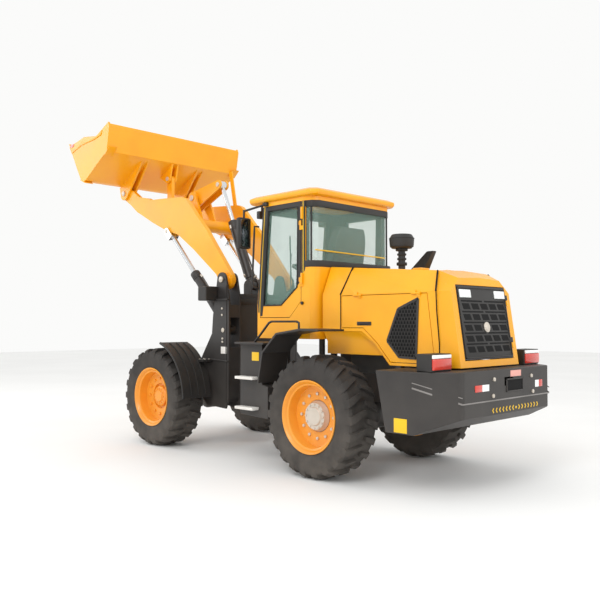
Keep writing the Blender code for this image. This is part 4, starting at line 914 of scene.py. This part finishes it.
base = [boxPiece(at(-0.17, 0.53, 1.3615), at(0.17, 0.85, 1.60), 0.02),
        boxPiece(at(-0.13, 0.56, 1.59), at(0.13, 0.82, 1.76), 0.01),
        boxPiece(at(-0.23, 0.46, 1.752), at(0.23, 0.96, 1.775), 0.008)]
finishPiece(base, "seat_base", "mouldedBlack", "rear", ["operator_seat"])
cushion = cushionPiece((-0.245, -0.25, -0.05), (0.245, 0.25, 0.05), seat["cushionTilt"], at(0, 0.70, 1.82))
backrest = cushionPiece((-0.25, -0.345, -0.05), (0.25, 0.345, 0.05), seat["backTilt"],
                        at(0, 0.940, 2.185), 0.22)
for piece, name in ((cushion, "seat_cushion"), (backrest, "seat_back")):
    finishPiece([piece], name, "seatVinyl", "rear", smooth=60)
around = ((-0.225, 0.47), (0.225, 0.47), (0.235, 0.92), (-0.235, 0.92), (-0.225, 0.47))
piping = []
for z in (1.866, 1.775):
    piping.append(tubePiece([at(x, y, z - (y - 0.70) * 0.052) for x, y in around], 0.005, 6, False))
finishPiece(piping, "seat_piping", "hoseRubber", "rear", smooth=60)

# mirror faces, pre-cleaner rings, exhaust mouth, treads, hoses, gland rings

for name, side in sides:
    case = sideBox(side, (0.765, 0.935), (0.186, 0.243), (2.290, 2.630), 0.022)
    glass = sideBox(side, (0.785, 0.915), (0.240, 0.2445), (2.312, 2.608), 0.002)
    finishPiece([case], f"mirror_{name}_case", "mouldedBlack", "rear", smooth=60)
    finishPiece([glass], f"mirror_{name}_glass", "mirrorGlass", "rear")
cleanerRings = ((2.06, 0.03, 0.052), (2.115, 0.02, 0.046), (2.16, 0.02, 0.046), (2.205, 0.03, 0.060),
                (2.245, 0.012, 0.118), (2.325, 0.008, 0.1275))  # foot, height, radius
rings = [rodPiece(at(0.12, 1.80, z), at(0.12, 1.80, z + h), r, 32, 0.003) for z, h, r in cleanerRings]
finishPiece(rings, "air_cleaner_rings", "hoseRubber", "rear")
# a near-black sheet over the exhaust's opening: painted shade inside the pipe
opening = ((-0.173, 1.937), (-0.127, 1.937), (-0.127, 2.003), (-0.173, 2.003))
mouth = [platePiece([at(x, y, 2.2095) for x, y in opening], (0, 0, 0.002))]
finishPiece(mouth, "exhaust_mouth", "paintedShadeBlack", "rear")
treads = []
for name, side in sides:
    for z in (0.608, 0.923):
        treads.append(sideBox(side, (0.925, 1.022), (0.278, 0.562), (z - 0.026, z + 0.003), 0.003))
finishPiece(treads, "step_treads", "plateWhite", "rear")
plates = [sideBox(side, (0.9295, 0.932), (0.451, 0.562), (1.091, 1.181), 0.0008) for side in (1, -1)]
finishPiece(plates, "tank_plates", "signalYellow", "rear")


def glandRing(start, way, distance, radius, length, name, body, x):
    way = Vector((0, way[0], way[1])).normalized()
    centre = at(x, *start) + way * distance
    collar = [rodPiece(centre - way * length, centre + way * 0.004, radius, 28, 0.005),
              rodPiece(centre - way * (length + 0.02), centre - way * length, radius * 0.96, 28, 0.003)]
    finishPiece(collar, name, "castBlack", body)
    return centre, way


liftBase, liftEnd = (-0.50, 1.40), (-1.747, 2.69)
tiltBase, tiltEnd = (-0.63, 1.95), (-1.238, 3.30)
for name, side in sides:
    x = side * 0.465
    lift = Vector((liftEnd[0] - liftBase[0], liftEnd[1] - liftBase[1]))
    centre, way = glandRing(liftBase, lift, 0.985, 0.062, 0.085, f"lift_gland_{name}",
                            f"lift_barrel_{name}", x)
    upper = Vector((0, -way.z, way.y)) * -0.066
    low = at(x, *liftBase) + way * 0.30 + upper
    run = [low, low + way * 0.03 + upper * 0.25, low + way * 0.30, centre - way * 0.16 + upper * 1.25,
           centre - way * 0.10 + upper]
    gaitered(run, "castSteel", f"lift_pipe_{name}", f"lift_barrel_{name}", 0.009)
tilt = Vector((tiltEnd[0] - tiltBase[0], tiltEnd[1] - tiltBase[1]))
centre, way = glandRing(tiltBase, tilt, 0.92, 0.064, 0.10, "tilt_gland", "tilt_barrel", 0.0)
for name, side in sides:
    start = at(side * 0.072, *tiltBase) + way * 0.12
    run = [start, start + way * 0.02 + Vector((side * 0.02, 0.02, 0)), start + way * 0.4,
           centre - way * 0.14 + Vector((side * 0.075, 0.0, 0)),
           centre - way * 0.06 + Vector((side * 0.064, 0, 0))]
    gaitered(run, "castSteel", f"tilt_pipe_{name}", "tilt_barrel", 0.009)
hoses = []
for x in (-0.30, -0.16, 0.16, 0.30):
    points = [at(x, -0.53, 1.05), at(x * 1.05, -0.62, 1.22), at(x, -0.66, 1.50), at(x * 0.8, -0.60, 1.76)]
    hoses.append(tubePiece(points, 0.012, 10))
finishPiece(hoses, "tower_hoses", "hoseRubber", "front", smooth=60)
print("details done")

# stage, light and camera

deselect()
bpy.ops.mesh.primitive_plane_add(size=60, location=(0, 0, -0.002))
ground = bpy.context.object
ground.name = "ground"
ground.data.materials.append(makeFinish("paleStudioFloor", {"colour": "#F4F4F3", "shade": "#F0F0EF",
                                                            "roughness": 0.75, "bump": 0.02,
                                                            "driftScale": 0.4}))
ground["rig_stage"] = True
lights = (("key", (9.0, 5.0, 8.5), 5.0, 470), ("fill", (-3.0, 11.0, 6.0), 6.0, 200),
          ("front", (5.0, -9.0, 6.0), 5.0, 170))
for name, place, size, power in lights:
    deselect()
    bpy.ops.object.light_add(type="AREA", location=place)
    lamp = bpy.context.object
    lamp.name = name
    lamp.data.size = size
    lamp.data.energy = power
    lamp.rotation_mode = "QUATERNION"
    lamp.rotation_quaternion = (Vector((0, 0, 1.4)) - Vector(place)).to_track_quat("-Z", "Y")
    lamp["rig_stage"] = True
world = bpy.data.worlds.new("softStudio")
bpy.context.scene.world = world
world.use_nodes = True
world.node_tree.nodes["Background"].inputs["Color"].default_value = hexColour("#FBFBFA")
world.node_tree.nodes["Background"].inputs["Strength"].default_value = 1.0
bpy.context.scene.view_settings.view_transform = "Standard"

deselect()
view = {"pan": 45.431, "rise": 1.811, "lens": 43.29}
eye = at(5.902, 6.218, 1.487)
pan, rise = math.radians(view["pan"]), math.radians(view["rise"])
heading = Vector((-math.cos(pan) * math.cos(rise), -math.sin(pan) * math.cos(rise), math.sin(rise)))
bpy.ops.object.camera_add(location=eye)
camera = bpy.context.object
camera.rotation_mode = "QUATERNION"
camera.rotation_quaternion = heading.to_track_quat("-Z", "Y")
camera.data.sensor_width = 36
camera.data.lens = view["lens"]
bpy.context.scene.camera = camera

low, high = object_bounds()
print("done")
